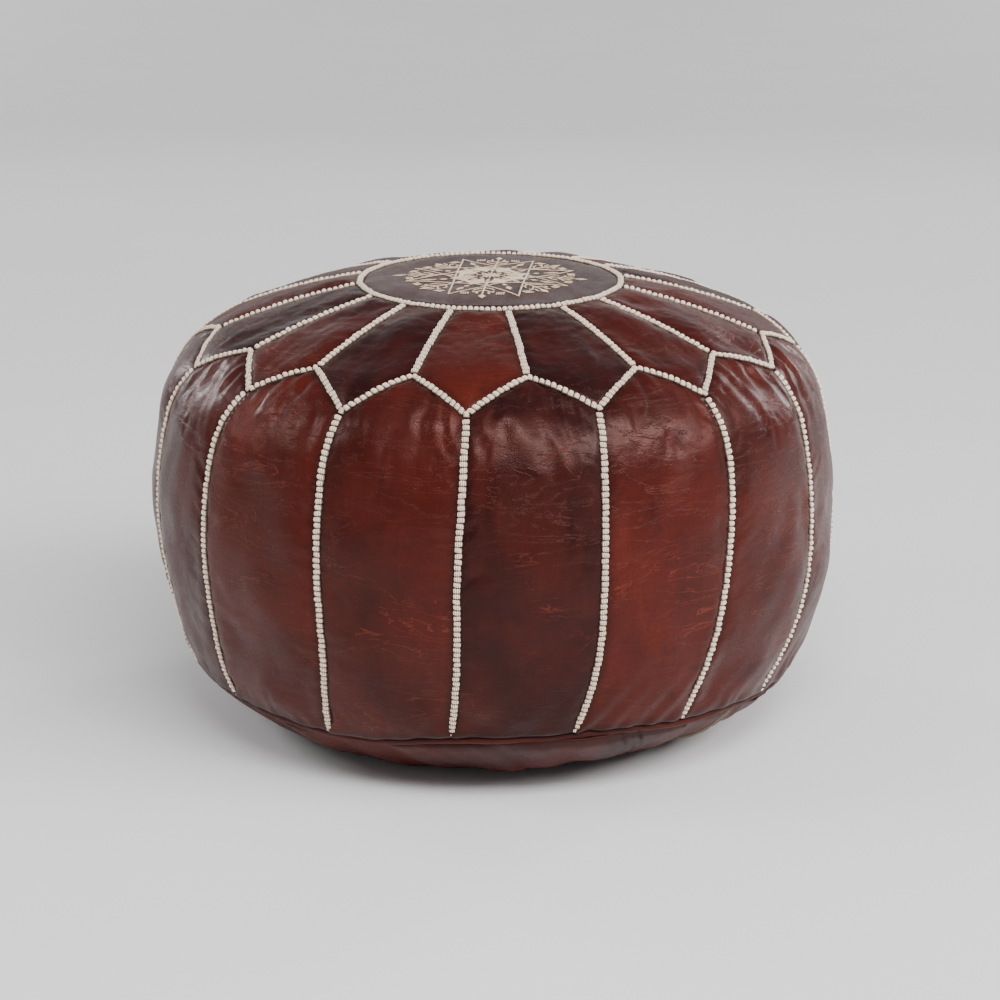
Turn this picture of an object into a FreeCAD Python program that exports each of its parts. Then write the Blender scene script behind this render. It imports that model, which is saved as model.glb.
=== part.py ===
"""Stuffed leather pouf: panelled cover, braided seams, embroidered medallion, zipped base and filling.

Frame: +Z up, origin on the floor under the middle of the pouf, -Y towards the front, millimetres.
Every curved piece follows one outline of the cover, at its own offset: a lower side arc, an upper
side arc, a shoulder arc and a crown arc, each tangent to the next. The medallion is a shallower dome
that takes the place of the crown arc's top.
"""
import FreeCAD, Part
import math
import os
import Sketcher
from FreeCAD import Placement, Rotation, Vector

Z_AXIS = Vector(0, 0, 1)
Y_AXIS = Vector(0, 1, 0)

# Driving dimensions, in millimetres and degrees: alias, value, meaning.
DIMENSIONS = [
    ("equator_radius", 265.0, "leather surface at its widest"),
    ("equator_height", 173.0, "height of the widest line"),
    ("crown_height", 353.0, "top of the crown arc, which the shallower medallion cuts off"),
    ("medallion_height", 345.6, "leather surface at the medallion's middle"),
    ("dome_radius", 2000.0, "shallow dome of the medallion"),
    ("lower_side_radius", 300.0, "side arc below the widest line"),
    ("shoulder_radius", 82.0, "shoulder arc"),
    ("shoulder_offset", 176.0, "shoulder arc centre, from the axis"),
    ("shoulder_height", 235.0, "shoulder arc centre, above the floor"),
    ("base_flat_radius", 128.0, "flat of the base that stands on the floor"),
    ("base_arc_radius", 151.0, "arc of the base up to the welt"),
    ("base_rim_height", 45.8, "top edge of the base panels"),
    ("side_foot_height", 54.3, "lower edge of the side panels"),
    ("skin", 2.0, "leather thickness"),
    ("panel_count", 16.0, "side panels, and top panels"),
    ("panel_start", -4.4, "azimuth of the first side seam, from the front to the right"),
    ("seam_angle", 0.24, "angle left open at each seam between panels"),
    ("seam_gap", 0.6, "gap left open along the zigzag seam"),
    ("point_low_radius", 233.0, "zigzag point on a side seam, from the axis"),
    ("point_low_height", 293.95, "the same point, above the floor"),
    ("point_high_radius", 206.0, "zigzag point on a radial seam, from the axis"),
    ("point_high_height", 311.3, "the same point, above the floor"),
    ("seam_tilt", 56.0, "elevation of the leather's normal at the zigzag seam"),
    ("medallion_radius", 100.6, "round top medallion"),
    ("medallion_gap", 0.8, "gap between the medallion and the top panels"),
    ("top_panel_foot_radius", 238.0, "lowest reach of a top panel before it is cut to a point"),
    ("side_panel_head_radius", 202.0, "highest reach of a side panel before it is cut to a point"),
    ("braid_width", 6.5, "braid over every seam"),
    ("braid_lift", 0.3, "clearance between leather and braid"),
    ("braid_height", 2.0, "thickness of the braid"),
    ("zigzag_reach", 3.8, "half width of the zigzag braid, measured down the slope"),
    ("side_braid_foot_height", 57.5, "lower end of the side seam braids"),
    ("side_braid_head_height", 290.6, "upper end of the side seam braids"),
    ("radial_braid_head_radius", 105.0, "inner end of the radial seam braids"),
    ("radial_braid_foot_radius", 201.7, "outer end of the radial seam braids"),
    ("ring_braid_radius", 101.0, "middle of the braid round the medallion"),
    ("star_radius", 71.0, "embroidered star, to its points"),
    ("star_line_width", 3.0, "width of an embroidered line"),
    ("star_lift", 0.15, "clearance between medallion and embroidery"),
    ("star_height", 0.8, "thickness of the embroidery"),
    ("spoke_length", 30.0, "embroidered spokes at the centre"),
    ("welt_radius", 240.0, "middle of the base welt"),
    ("welt_height", 50.05, "middle of the base welt, above the floor"),
    ("welt_thickness", 7.0, "diameter of the base welt"),
    ("filling_gap", 0.4, "clearance between leather and filling"),
    ("filling_floor", 9.0, "clearance between floor and filling"),
    ("filling_rim_height", 50.0, "upper end of the filling's base arc"),
    ("filling_side_foot", 60.0, "lower end of the filling's side"),
    ("filling_dome_edge", 101.0, "radius where the filling's crown gives way to its dome"),
    ("zip_azimuth", 49.0, "direction of the zip, from the front to the right"),
    ("channel_half_width", 4.5, "from the zip's middle to the folded leather edge"),
    ("hem_far_edge", 7.5, "from the zip's middle to the back of the folded edge"),
    ("hem_outer_depth", 1.0, "where the folded edge starts inside the panel's thickness"),
    ("hem_inner_depth", 6.0, "inner face of the folded edge, in from the base's surface"),
    ("hem_rim_height", 43.5, "top end of the folded edge"),
    ("tape_depth", 6.3, "outer face of the zip tape, in from the base's surface"),
    ("tape_inner_depth", 6.9, "inner face of the zip tape"),
    ("tape_inner_edge", 1.2, "from the zip's middle to the tape's inner edge"),
    ("tape_outer_edge", 12.0, "from the zip's middle to the tape's outer edge"),
    ("coil_depth", 4.4, "outer face of the coils, in from the base's surface"),
    ("coil_inner_depth", 6.0, "inner face of the coils"),
    ("coil_inner_edge", 0.6, "from the zip's middle to a coil's inner edge"),
    ("coil_outer_edge", 3.2, "from the zip's middle to a coil's outer edge"),
    ("zip_rim_height", 43.0, "upper ends of tape and coils"),
    ("slider_rest", -108.0, "slider's middle on the zip's line, zip closed"),
    ("slider_length", 12.0, "slider plates, along the zip"),
    ("inner_plate_width", 10.0, "slider plate inside the cover"),
    ("inner_plate_bottom", 7.2, "lower face of the inner plate"),
    ("inner_plate_thickness", 1.2, "inner plate"),
    ("outer_plate_width", 8.4, "slider plate outside the tape"),
    ("outer_plate_bottom", 2.8, "lower face of the outer plate"),
    ("outer_plate_thickness", 1.2, "outer plate"),
    ("flange_width", 0.6, "side flange of the outer plate"),
    ("flange_top", 5.9, "upper edge of the side flanges"),
    ("blade_length", 5.0, "blade that joins the two plates"),
    ("blade_width", 0.6, "blade thickness, between the two coils"),
    ("bail_length", 7.2, "bail that holds the pull tab"),
    ("bail_width", 2.4, "bail, across the zip"),
    ("bail_bottom", 0.4, "lowest face of the bail"),
    ("bail_bar", 0.7, "thickness of the bail's cross bar"),
    ("bail_post", 1.0, "thickness of a bail post"),
    ("pull_axis_height", 1.95, "pull tab's pivot, above the floor"),
    ("pull_pin_radius", 0.5, "bar of the pull tab inside the bail"),
    ("pull_length", 24.0, "pull tab, from its pivot to its tip"),
    ("pull_width", 7.0, "pull tab"),
    ("pull_thickness", 1.0, "pull tab"),
    ("pull_heel", 0.6, "pull tab behind its pivot"),
    ("eye_length", 4.6, "opening of the pull tab, from its pivot"),
    ("eye_width", 3.2, "opening of the pull tab, across"),
    ("pull_corner", 2.2, "rounding of the pull tab's tip"),
]

# Expressions on the sheet that more than one sub-part uses.
CROWN_DROP = "(Dims.shoulder_height - Dims.crown_height)"
CROWN_RADIUS = (
    f"((Dims.shoulder_radius^2 - Dims.shoulder_offset^2 - {CROWN_DROP}^2)"
    f" / (2 * ({CROWN_DROP} + Dims.shoulder_radius)))"
)
# Height of the centre and radius of the two arcs whose centres lie on the axis.
AXIS_ARC_TEXTS = {
    "crown": (f"Dims.crown_height - {CROWN_RADIUS}", CROWN_RADIUS),
    "dome": ("Dims.medallion_height - Dims.dome_radius", "Dims.dome_radius"),
}
HALF_STEP = "(180 / Dims.panel_count)"
BRAID_BOTTOM = "Dims.braid_lift"
BRAID_TOP = "Dims.braid_lift + Dims.braid_height"

# Start sizes of a block's sketch, before the sheet's sizes take over.
BLOCK_START_X = 2.0
BLOCK_START_Y = 1.0

# A cutting sketch lies beyond the leather and its pocket goes in through the whole skin.
CUTTER_DISTANCE = 400.0
CUTTER_DEPTH = 70.0
CUTTER_SPAN = 70.0
CUTTER_OVERSHOOT = 1.3

doc = FreeCAD.newDocument("pouf")
sheet = doc.addObject("Spreadsheet::Sheet", "Dims")


# ---------------------------------------------------------------- sheet and arithmetic

def fill_sheet():
    for row, (alias, value, meaning) in enumerate(DIMENSIONS, start=1):
        sheet.set(f"A{row}", alias)
        sheet.set(f"B{row}", str(value))
        sheet.set(f"C{row}", meaning)
        sheet.setAlias(f"B{row}", alias)
    doc.recompute()


def dim(alias):
    return float(sheet.get(alias))


def crown_radius():
    drop = dim("shoulder_height") - dim("crown_height")
    round_part = dim("shoulder_radius") ** 2 - dim("shoulder_offset") ** 2 - drop ** 2
    return round_part / (2 * (drop + dim("shoulder_radius")))


def upper_side_radius():
    across = dim("equator_radius") - dim("shoulder_offset")
    drop = dim("equator_height") - dim("shoulder_height")
    round_part = across ** 2 + drop ** 2 - dim("shoulder_radius") ** 2
    return round_part / (2 * (across - dim("shoulder_radius")))


def heading(azimuth):
    """Placement that turns a piece built along +X to an azimuth, counted from the front to the right."""
    return Placement(Vector(), Rotation(Z_AXIS, azimuth - 90))


def panel_azimuth(index, shift):
    """Azimuth of panel `index` of the ring, moved on by `shift` panels."""
    return dim("panel_start") + (index + shift) * 360 / dim("panel_count")


# ---------------------------------------------------------------- the cover's outline

def outline_arcs(offset):
    """Centre and radius of each arc, at an offset outwards from the leather surface."""
    equator = dim("equator_radius")
    height = dim("equator_height")
    lower = dim("lower_side_radius")
    upper = upper_side_radius()
    shoulder = dim("shoulder_radius")
    dome = dim("dome_radius")
    return {
        "lower": (Vector(equator - lower, height, 0), lower + offset),
        "upper": (Vector(equator - upper, height, 0), upper + offset),
        "shoulder": (Vector(dim("shoulder_offset"), dim("shoulder_height"), 0), shoulder + offset),
        "crown": (Vector(0, dim("crown_height") - crown_radius(), 0), crown_radius() + offset),
        "dome": (Vector(0, dim("medallion_height") - dome, 0), dome + offset),
    }


def junction_angle(arcs, first, second):
    """Angle at which two neighbouring arcs meet, on the line through their centres."""
    line = arcs[second][0] - arcs[first][0]
    if arcs[first][1] < arcs[second][1]:
        line = -line
    return math.atan2(line.y, line.x)


def angle_at(arc, radius=None, height=None):
    """Angle on an arc where it reaches a radius from the axis, or a height."""
    centre, size = arc
    if height is not None:
        return math.asin((height - centre.y) / size)
    return math.acos((radius - centre.x) / size)


class Outline:
    """Closed outline in a sketch: arcs and lines joined end to end, sized from the sheet."""

    def __init__(self, sketch):
        self.sketch = sketch

    def arc(self, centre, radius, start, end):
        circle = Part.Circle(centre, Z_AXIS, radius)
        return self.sketch.addGeometry(Part.ArcOfCircle(circle, start, end), False)

    def line(self, start, end):
        return self.sketch.addGeometry(Part.LineSegment(start, end), False)

    def link(self, geometry_a, end_a, geometry_b, end_b):
        self.sketch.addConstraint(Sketcher.Constraint("Coincident", geometry_a, end_a, geometry_b, end_b))

    def close(self, geometry_a, end_a, geometry_b, end_b):
        """Line between two open ends."""
        line = self.line(self.sketch.getPoint(geometry_a, end_a), self.sketch.getPoint(geometry_b, end_b))
        self.link(geometry_a, end_a, line, 1)
        self.link(geometry_b, end_b, line, 2)
        return line

    def tangent(self, geometry_a, end_a, geometry_b, end_b):
        self.sketch.addConstraint(Sketcher.Constraint("Tangent", geometry_a, end_a, geometry_b, end_b))

    def pin_x(self, geometry, end, expression):
        value = self.sketch.getPoint(geometry, end).x
        self.bind(Sketcher.Constraint("DistanceX", -1, 1, geometry, end, value), expression)

    def pin_y(self, geometry, end, expression):
        value = self.sketch.getPoint(geometry, end).y
        self.bind(Sketcher.Constraint("DistanceY", -1, 1, geometry, end, value), expression)

    def on_axis(self, geometry, end):
        """Point on the sketch's vertical axis."""
        self.sketch.addConstraint(Sketcher.Constraint("PointOnObject", geometry, end, -2))

    def on_floor(self, geometry, end):
        """Point on the sketch's horizontal axis."""
        self.sketch.addConstraint(Sketcher.Constraint("PointOnObject", geometry, end, -1))

    def pin_radius(self, geometry, expression):
        value = self.sketch.Geometry[geometry].Radius
        self.bind(Sketcher.Constraint("Radius", geometry, value), expression)

    def bind(self, constraint, expression):
        index = self.sketch.addConstraint(constraint)
        name = f"size_{index}"
        self.sketch.renameConstraint(index, name)
        self.sketch.setExpression(f"Constraints.{name}", expression)


START, END, CENTRE = 1, 2, 3


def axis_arc(outline, kind, offset, offset_text, foot, foot_text, head=None, head_text=""):
    """Crown or dome arc from radius `foot` in to radius `head`; a head of None runs to the axis."""
    centre_text, radius_text = AXIS_ARC_TEXTS[kind]
    arc = outline_arcs(offset)[kind]
    head_angle = math.pi / 2 if head is None else angle_at(arc, radius=head)
    made = outline.arc(arc[0], arc[1], angle_at(arc, radius=foot), head_angle)
    outline.on_axis(made, CENTRE)
    outline.pin_y(made, CENTRE, centre_text)
    outline.pin_radius(made, f"{radius_text} + {offset_text}")
    outline.pin_x(made, START, foot_text)
    if head is None:
        outline.on_axis(made, END)
    else:
        outline.pin_x(made, END, head_text)
    return made


def shoulder_arc(outline, arcs, offset_text, start, end):
    shoulder = outline.arc(arcs["shoulder"][0], arcs["shoulder"][1], start, end)
    outline.pin_x(shoulder, CENTRE, "Dims.shoulder_offset")
    outline.pin_y(shoulder, CENTRE, "Dims.shoulder_height")
    outline.pin_radius(shoulder, f"Dims.shoulder_radius + {offset_text}")
    return shoulder


def crown_after(outline, arcs, shoulder, start, head_alias):
    """Crown arc that runs on from the shoulder to a radius from the sheet."""
    head_angle = angle_at(arcs["crown"], radius=dim(head_alias))
    crown = outline.arc(arcs["crown"][0], arcs["crown"][1], start, head_angle)
    outline.tangent(shoulder, END, crown, START)
    outline.on_axis(crown, CENTRE)
    outline.pin_y(crown, CENTRE, AXIS_ARC_TEXTS["crown"][0])
    outline.pin_x(crown, END, f"Dims.{head_alias}")
    return crown


def shoulder_and_crown(outline, offset, offset_text, foot_alias, head_alias):
    """Shoulder from radius `foot` and crown in to radius `head`; returns both arcs."""
    arcs = outline_arcs(offset)
    meet = junction_angle(arcs, "shoulder", "crown")
    start = angle_at(arcs["shoulder"], radius=dim(foot_alias))
    shoulder = shoulder_arc(outline, arcs, offset_text, start, meet)
    outline.pin_x(shoulder, START, f"Dims.{foot_alias}")
    return shoulder, crown_after(outline, arcs, shoulder, meet, head_alias)


def side_arcs(outline, offset, offset_text, foot_alias, shoulder_end):
    """Lower and upper side arcs and the shoulder as far as an angle; returns the three arcs."""
    arcs = outline_arcs(offset)
    turn = junction_angle(arcs, "upper", "shoulder")
    start = angle_at(arcs["lower"], height=dim(foot_alias))
    lower = outline.arc(arcs["lower"][0], arcs["lower"][1], start, 0)
    upper = outline.arc(arcs["upper"][0], arcs["upper"][1], 0, turn)
    shoulder = shoulder_arc(outline, arcs, offset_text, turn, shoulder_end)
    outline.pin_radius(lower, f"Dims.lower_side_radius + {offset_text}")
    outline.pin_y(lower, CENTRE, "Dims.equator_height")
    outline.pin_y(lower, START, f"Dims.{foot_alias}")
    outline.link(lower, END, upper, START)
    outline.pin_x(upper, START, f"Dims.equator_radius + {offset_text}")
    outline.pin_y(upper, START, "Dims.equator_height")
    outline.pin_y(upper, CENTRE, "Dims.equator_height")
    outline.tangent(upper, END, shoulder, START)
    return lower, upper, shoulder


def side_to_crown(outline, offset, offset_text, foot_alias, head_alias):
    """Whole side from a height up and over to a radius on the crown; returns first and last arc."""
    arcs = outline_arcs(offset)
    meet = junction_angle(arcs, "shoulder", "crown")
    lower, _, shoulder = side_arcs(outline, offset, offset_text, foot_alias, meet)
    return lower, crown_after(outline, arcs, shoulder, meet, head_alias)


def side_to_height(outline, offset, offset_text, foot_alias, head_alias):
    """Side from one height up to another one on the shoulder; returns first and last arc."""
    head = angle_at(outline_arcs(offset)["shoulder"], height=dim(head_alias))
    lower, _, shoulder = side_arcs(outline, offset, offset_text, foot_alias, head)
    outline.pin_y(shoulder, END, f"Dims.{head_alias}")
    return lower, shoulder


def base_line(outline, depth, depth_text, rim_alias, side=1):
    """Base at a depth inside its surface: a flat and an arc up to the rim, on one side of the axis."""
    flat = dim("base_flat_radius")
    size = dim("base_arc_radius") - depth
    centre = Vector(side * flat, dim("base_arc_radius"), 0)
    rise = math.asin((dim(rim_alias) - centre.y) / size)
    if side > 0:
        arc = outline.arc(centre, size, -math.pi / 2, rise)
        inner_end, rim_end = START, END
    else:
        arc = outline.arc(centre, size, math.pi - rise, 1.5 * math.pi)
        inner_end, rim_end = END, START
    sign = "" if side > 0 else "-1 * "
    outline.pin_radius(arc, f"Dims.base_arc_radius - {depth_text}")
    outline.pin_x(arc, CENTRE, f"{sign}Dims.base_flat_radius")
    outline.pin_y(arc, CENTRE, "Dims.base_arc_radius")
    outline.pin_x(arc, inner_end, f"{sign}Dims.base_flat_radius")
    outline.pin_y(arc, rim_end, f"Dims.{rim_alias}")
    return arc, inner_end, rim_end


# ---------------------------------------------------------------- features of a body

def new_body(label, placement=Placement()):
    body = doc.addObject("PartDesign::Body", label)
    body.Label = label
    body.Placement = placement
    return body


def new_sketch(body, name, plane, offset=Placement()):
    sketch = body.newObject("Sketcher::SketchObject", name)
    origin_plane = next(item for item in body.Origin.OriginFeatures if item.Role == plane)
    sketch.AttachmentSupport = [(origin_plane, "")]
    sketch.MapMode = "FlatFace"
    sketch.AttachmentOffset = offset
    return sketch


def revolve(body, sketch, angle_text):
    feature = body.newObject("PartDesign::Revolution", "Turned")
    feature.Profile = sketch
    feature.ReferenceAxis = (sketch, ["V_Axis"])
    feature.Midplane = True
    feature.setExpression("Angle", angle_text)
    return feature


def pad_symmetric(body, sketch, length_text):
    feature = body.newObject("PartDesign::Pad", "Plate")
    feature.Profile = sketch
    feature.Midplane = True
    feature.setExpression("Length", length_text)
    return feature


def pad_up(body, sketch, length_text):
    feature = body.newObject("PartDesign::Pad", "Block")
    feature.Profile = sketch
    feature.setExpression("Length", length_text)
    return feature


def polar_copies(body):
    """Whole body repeated once for each panel."""
    pattern = body.newObject("PartDesign::PolarPattern", "Around")
    axis = next(item for item in body.Origin.OriginFeatures if item.Role == "Z_Axis")
    pattern.Axis = (axis, [""])
    pattern.TransformMode = "Whole shape"
    pattern.Angle = 360
    pattern.setExpression("Occurrences", "Dims.panel_count")
    body.AllowCompound = True
    body.Tip = pattern
    return pattern


def rectangle(outline, x_low, x_high, y_low, y_high, texts):
    """Rectangle with its four sides at positions from the sheet, in the order of the arguments."""
    plan = ((x_low, y_low), (x_high, y_low), (x_high, y_high), (x_low, y_high))
    corners = [Vector(x, y, 0) for x, y in plan]
    lines = [outline.line(corners[i], corners[(i + 1) % 4]) for i in range(4)]
    for index, line in enumerate(lines):
        outline.link(line, END, lines[(index + 1) % 4], START)
        direction = "Horizontal" if index % 2 == 0 else "Vertical"
        outline.sketch.addConstraint(Sketcher.Constraint(direction, line))
    outline.pin_x(lines[0], START, texts[0])
    outline.pin_x(lines[0], END, texts[1])
    outline.pin_y(lines[0], START, texts[2])
    outline.pin_y(lines[2], START, texts[3])
    return lines


def slope_position(point, turn_text):
    """Distance down the seam's slope of the zigzag's "low" or "high" point, as an expression."""
    return (
        f"(Dims.point_{point}_radius * cos({turn_text}) * sin(Dims.seam_tilt)"
        f" - Dims.point_{point}_height * cos(Dims.seam_tilt))"
    )


def slope_value(radius, height, turn):
    tilt = math.radians(dim("seam_tilt"))
    return radius * math.cos(turn) * math.sin(tilt) - height * math.cos(tilt)


def point_of(alias):
    return dim(f"point_{alias}_radius"), dim(f"point_{alias}_height")


def cut_beside_seam(body, middle, corner, shift_text, shift, far):
    """Pocket that removes the leather on one side of a zigzag point.

    `middle` and `corner` are "high" and "low", or the other way round: the point in the middle of
    the panel and the points on its two edges. The seam is moved down the slope by `shift`, and `far`
    is the side that goes: -1 up the slope, +1 down it.
    """
    half_step = math.pi / dim("panel_count")
    tilt_turn = Rotation(Y_AXIS, 90 - dim("seam_tilt"))
    away = tilt_turn.multVec(Vector(0, 0, CUTTER_DISTANCE))
    sketch = new_sketch(body, "SeamCut", "XY_Plane", Placement(away, tilt_turn))
    outline = Outline(sketch)
    middle_slope = slope_value(*point_of(middle), 0) + shift
    corner_slope = slope_value(*point_of(corner), half_step) + shift
    reach = dim(f"point_{corner}_radius") * math.sin(half_step)
    edge_slope = middle_slope + CUTTER_OVERSHOOT * (corner_slope - middle_slope)
    edge = CUTTER_OVERSHOOT * reach
    limit = far * CUTTER_SPAN
    corners = [
        Vector(middle_slope, 0, 0),
        Vector(edge_slope, edge, 0),
        Vector(limit, edge, 0),
        Vector(limit, -edge, 0),
        Vector(edge_slope, -edge, 0),
    ]
    count = len(corners)
    lines = [outline.line(corners[i], corners[(i + 1) % count]) for i in range(count)]
    for index, line in enumerate(lines):
        outline.link(line, END, lines[(index + 1) % count], START)
    middle_text = f"{slope_position(middle, '0')} + {shift_text}"
    corner_text = f"{slope_position(corner, HALF_STEP)} + {shift_text}"
    edge_text = f"{middle_text} + {CUTTER_OVERSHOOT} * ({corner_text} - ({middle_text}))"
    reach_text = f"{CUTTER_OVERSHOOT} * Dims.point_{corner}_radius * sin({HALF_STEP})"
    outline.on_floor(lines[0], START)
    outline.pin_x(lines[0], START, middle_text)
    for line, sign in ((lines[1], ""), (lines[4], "-1 * ")):
        outline.pin_x(line, START, edge_text)
        outline.pin_y(line, START, f"{sign}{reach_text}")
    for line, sign in ((lines[2], ""), (lines[3], "-1 * ")):
        outline.pin_x(line, START, str(limit))
        outline.pin_y(line, START, f"{sign}{reach_text}")
    pocket = body.newObject("PartDesign::Pocket", "Seam")
    pocket.Profile = sketch
    pocket.Length = CUTTER_DEPTH
    return pocket


# ---------------------------------------------------------------- cover

def add_medallion():
    body = new_body("medallion")
    outline = Outline(new_sketch(body, "Disc", "XZ_Plane"))
    radius = dim("medallion_radius")
    outer = axis_arc(outline, "dome", 0, "0", radius, "Dims.medallion_radius")
    inner = axis_arc(outline, "dome", -dim("skin"), "-1 * Dims.skin", radius, "Dims.medallion_radius")
    outline.close(outer, START, inner, START)
    outline.close(outer, END, inner, END)
    revolve(body, outline.sketch, "360")


def add_top_panel(number, azimuth):
    body = new_body(f"top_panel_{number:02d}", heading(azimuth))
    outline = Outline(new_sketch(body, "Band", "XZ_Plane"))
    ends = []
    for offset, text in ((0, "0"), (-dim("skin"), "-1 * Dims.skin")):
        ends.append(shoulder_and_crown(outline, offset, text, "top_panel_foot_radius", "medallion_radius"))
    outline.close(ends[0][0], START, ends[1][0], START)
    outline.close(ends[0][1], END, ends[1][1], END)
    revolve(body, outline.sketch, "360 / Dims.panel_count - Dims.seam_angle")
    cut_beside_seam(body, "low", "high", "-1 * Dims.seam_gap", -dim("seam_gap"), 1)
    trim_for_medallion(body)


def trim_for_medallion(body):
    """Groove that leaves the gap round the medallion."""
    outline = Outline(new_sketch(body, "Edge", "XZ_Plane"))
    radius = dim("medallion_radius")
    top = dim("crown_height")
    bottom = dim("point_high_height")
    texts = (
        "Dims.medallion_radius - 1",
        "Dims.medallion_radius + Dims.medallion_gap",
        "Dims.point_high_height",
        "Dims.crown_height",
    )
    rectangle(outline, radius - 1, radius + dim("medallion_gap"), bottom, top, texts)
    groove = body.newObject("PartDesign::Groove", "Clearance")
    groove.Profile = outline.sketch
    groove.ReferenceAxis = (outline.sketch, ["V_Axis"])
    groove.Angle = 360


def add_side_panel(number, azimuth):
    body = new_body(f"side_panel_{number:02d}", heading(azimuth))
    outline = Outline(new_sketch(body, "Band", "XZ_Plane"))
    ends = []
    for offset, text in ((0, "0"), (-dim("skin"), "-1 * Dims.skin")):
        ends.append(side_to_crown(outline, offset, text, "side_foot_height", "side_panel_head_radius"))
    outline.close(ends[0][0], START, ends[1][0], START)
    outline.close(ends[0][1], END, ends[1][1], END)
    revolve(body, outline.sketch, "360 / Dims.panel_count - Dims.seam_angle")
    cut_beside_seam(body, "high", "low", "Dims.seam_gap", dim("seam_gap"), -1)


def add_base_panel(label, azimuth):
    """Half of the round base, with its folded edge along the zip."""
    body = new_body(label, heading(azimuth))
    outline = Outline(new_sketch(body, "Half", "YZ_Plane"))
    outer, outer_in, outer_rim = base_line(outline, 0, "0", "base_rim_height")
    inner, inner_in, inner_rim = base_line(outline, dim("skin"), "Dims.skin", "base_rim_height")
    outline.close(outer, outer_rim, inner, inner_rim)
    floor = outline.line(Vector(0, 0, 0), outline.sketch.getPoint(outer, outer_in))
    roof = outline.line(Vector(0, dim("skin"), 0), outline.sketch.getPoint(inner, inner_in))
    outline.link(floor, END, outer, outer_in)
    outline.link(floor, START, -1, 1)
    outline.link(roof, END, inner, inner_in)
    outline.on_axis(roof, START)
    outline.sketch.addConstraint(Sketcher.Constraint("Horizontal", roof))
    outline.close(floor, START, roof, START)
    revolve(body, outline.sketch, "180")
    outline = Outline(new_sketch(body, "Channel", "XY_Plane"))
    reach = dim("equator_radius")
    width = dim("channel_half_width")
    texts = (
        "-1 * Dims.equator_radius",
        "Dims.equator_radius",
        "-1 * Dims.channel_half_width",
        "Dims.channel_half_width",
    )
    rectangle(outline, -reach, reach, -width, width, texts)
    pocket = body.newObject("PartDesign::Pocket", "Opening")
    pocket.Profile = outline.sketch
    pocket.Type = "ThroughAll"
    pocket.Midplane = True
    edges = ("channel_half_width", "hem_far_edge")
    add_along_zip(body, "Hem", ("hem_outer_depth", "hem_inner_depth"), edges, "hem_rim_height")


def add_along_zip(body, name, depths, edges, rim_alias):
    """Strip that follows the base along the zip, from rim to rim.

    `depths` names its outer and inner depths inside the base's surface, and `edges` its near and far
    edges, counted from the zip's middle.
    """
    middle = (dim(edges[0]) + dim(edges[1])) / 2
    outline = Outline(new_sketch(body, name, "XZ_Plane", Placement(Vector(0, 0, -middle), Rotation())))
    outline.sketch.setExpression("AttachmentOffset.Base.z", f"-1 * (Dims.{edges[0]} + Dims.{edges[1]}) / 2")
    rows = []
    for alias in depths:
        right, right_in, right_rim = base_line(outline, dim(alias), f"Dims.{alias}", rim_alias)
        left, left_in, left_rim = base_line(outline, dim(alias), f"Dims.{alias}", rim_alias, side=-1)
        outline.close(left, left_in, right, right_in)
        rows.append((left, left_rim, right, right_rim))
    outline.close(rows[0][0], rows[0][1], rows[1][0], rows[1][1])
    outline.close(rows[0][2], rows[0][3], rows[1][2], rows[1][3])
    pad_symmetric(body, outline.sketch, f"Dims.{edges[1]} - Dims.{edges[0]}")


def add_welt():
    welt = doc.addObject("Part::Torus", "base_welt")
    welt.Label = "base_welt"
    welt.setExpression("Radius1", "Dims.welt_radius")
    welt.setExpression("Radius2", "Dims.welt_thickness / 2")
    welt.setExpression("Placement.Base.z", "Dims.welt_height")


def add_filling():
    body = new_body("filling")
    outline = Outline(new_sketch(body, "Core", "XZ_Plane"))
    gap = dim("skin") + dim("filling_gap")
    gap_text = "-1 * (Dims.skin + Dims.filling_gap)"
    bottom = dim("filling_floor")
    lower, crown = side_to_crown(outline, -gap, gap_text, "filling_side_foot", "filling_dome_edge")
    dome = axis_arc(outline, "dome", -gap, gap_text, dim("filling_dome_edge"), "Dims.filling_dome_edge")
    base, base_in, base_rim = base_line(outline, bottom, "Dims.filling_floor", "filling_rim_height")
    outline.close(crown, END, dome, START)
    outline.close(base, base_rim, lower, START)
    floor = outline.line(Vector(0, bottom, 0), outline.sketch.getPoint(base, base_in))
    outline.link(floor, END, base, base_in)
    outline.on_axis(floor, START)
    outline.sketch.addConstraint(Sketcher.Constraint("Horizontal", floor))
    outline.close(floor, START, dome, END)
    revolve(body, outline.sketch, "360")


# ---------------------------------------------------------------- braids and embroidery

def braid_offsets():
    lift = dim("braid_lift")
    return (lift, BRAID_BOTTOM), (lift + dim("braid_height"), BRAID_TOP)


def add_side_seam_braids():
    body = new_body("side_seam_braids", heading(panel_azimuth(0, 0)))
    outline = Outline(new_sketch(body, "Strip", "XZ_Plane"))
    ends = []
    foot, head = "side_braid_foot_height", "side_braid_head_height"
    for offset, text in braid_offsets():
        ends.append(side_to_height(outline, offset, text, foot, head))
    outline.close(ends[0][0], START, ends[1][0], START)
    outline.close(ends[0][1], END, ends[1][1], END)
    pad_symmetric(body, outline.sketch, "Dims.braid_width")
    polar_copies(body)


def add_radial_seam_braids():
    body = new_body("radial_seam_braids", heading(panel_azimuth(0, 0.5)))
    outline = Outline(new_sketch(body, "Strip", "XZ_Plane"))
    crown_band(
        outline,
        "Dims.radial_braid_foot_radius",
        "Dims.radial_braid_head_radius",
        dim("radial_braid_foot_radius"),
        dim("radial_braid_head_radius"),
    )
    pad_symmetric(body, outline.sketch, "Dims.braid_width")
    polar_copies(body)


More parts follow.
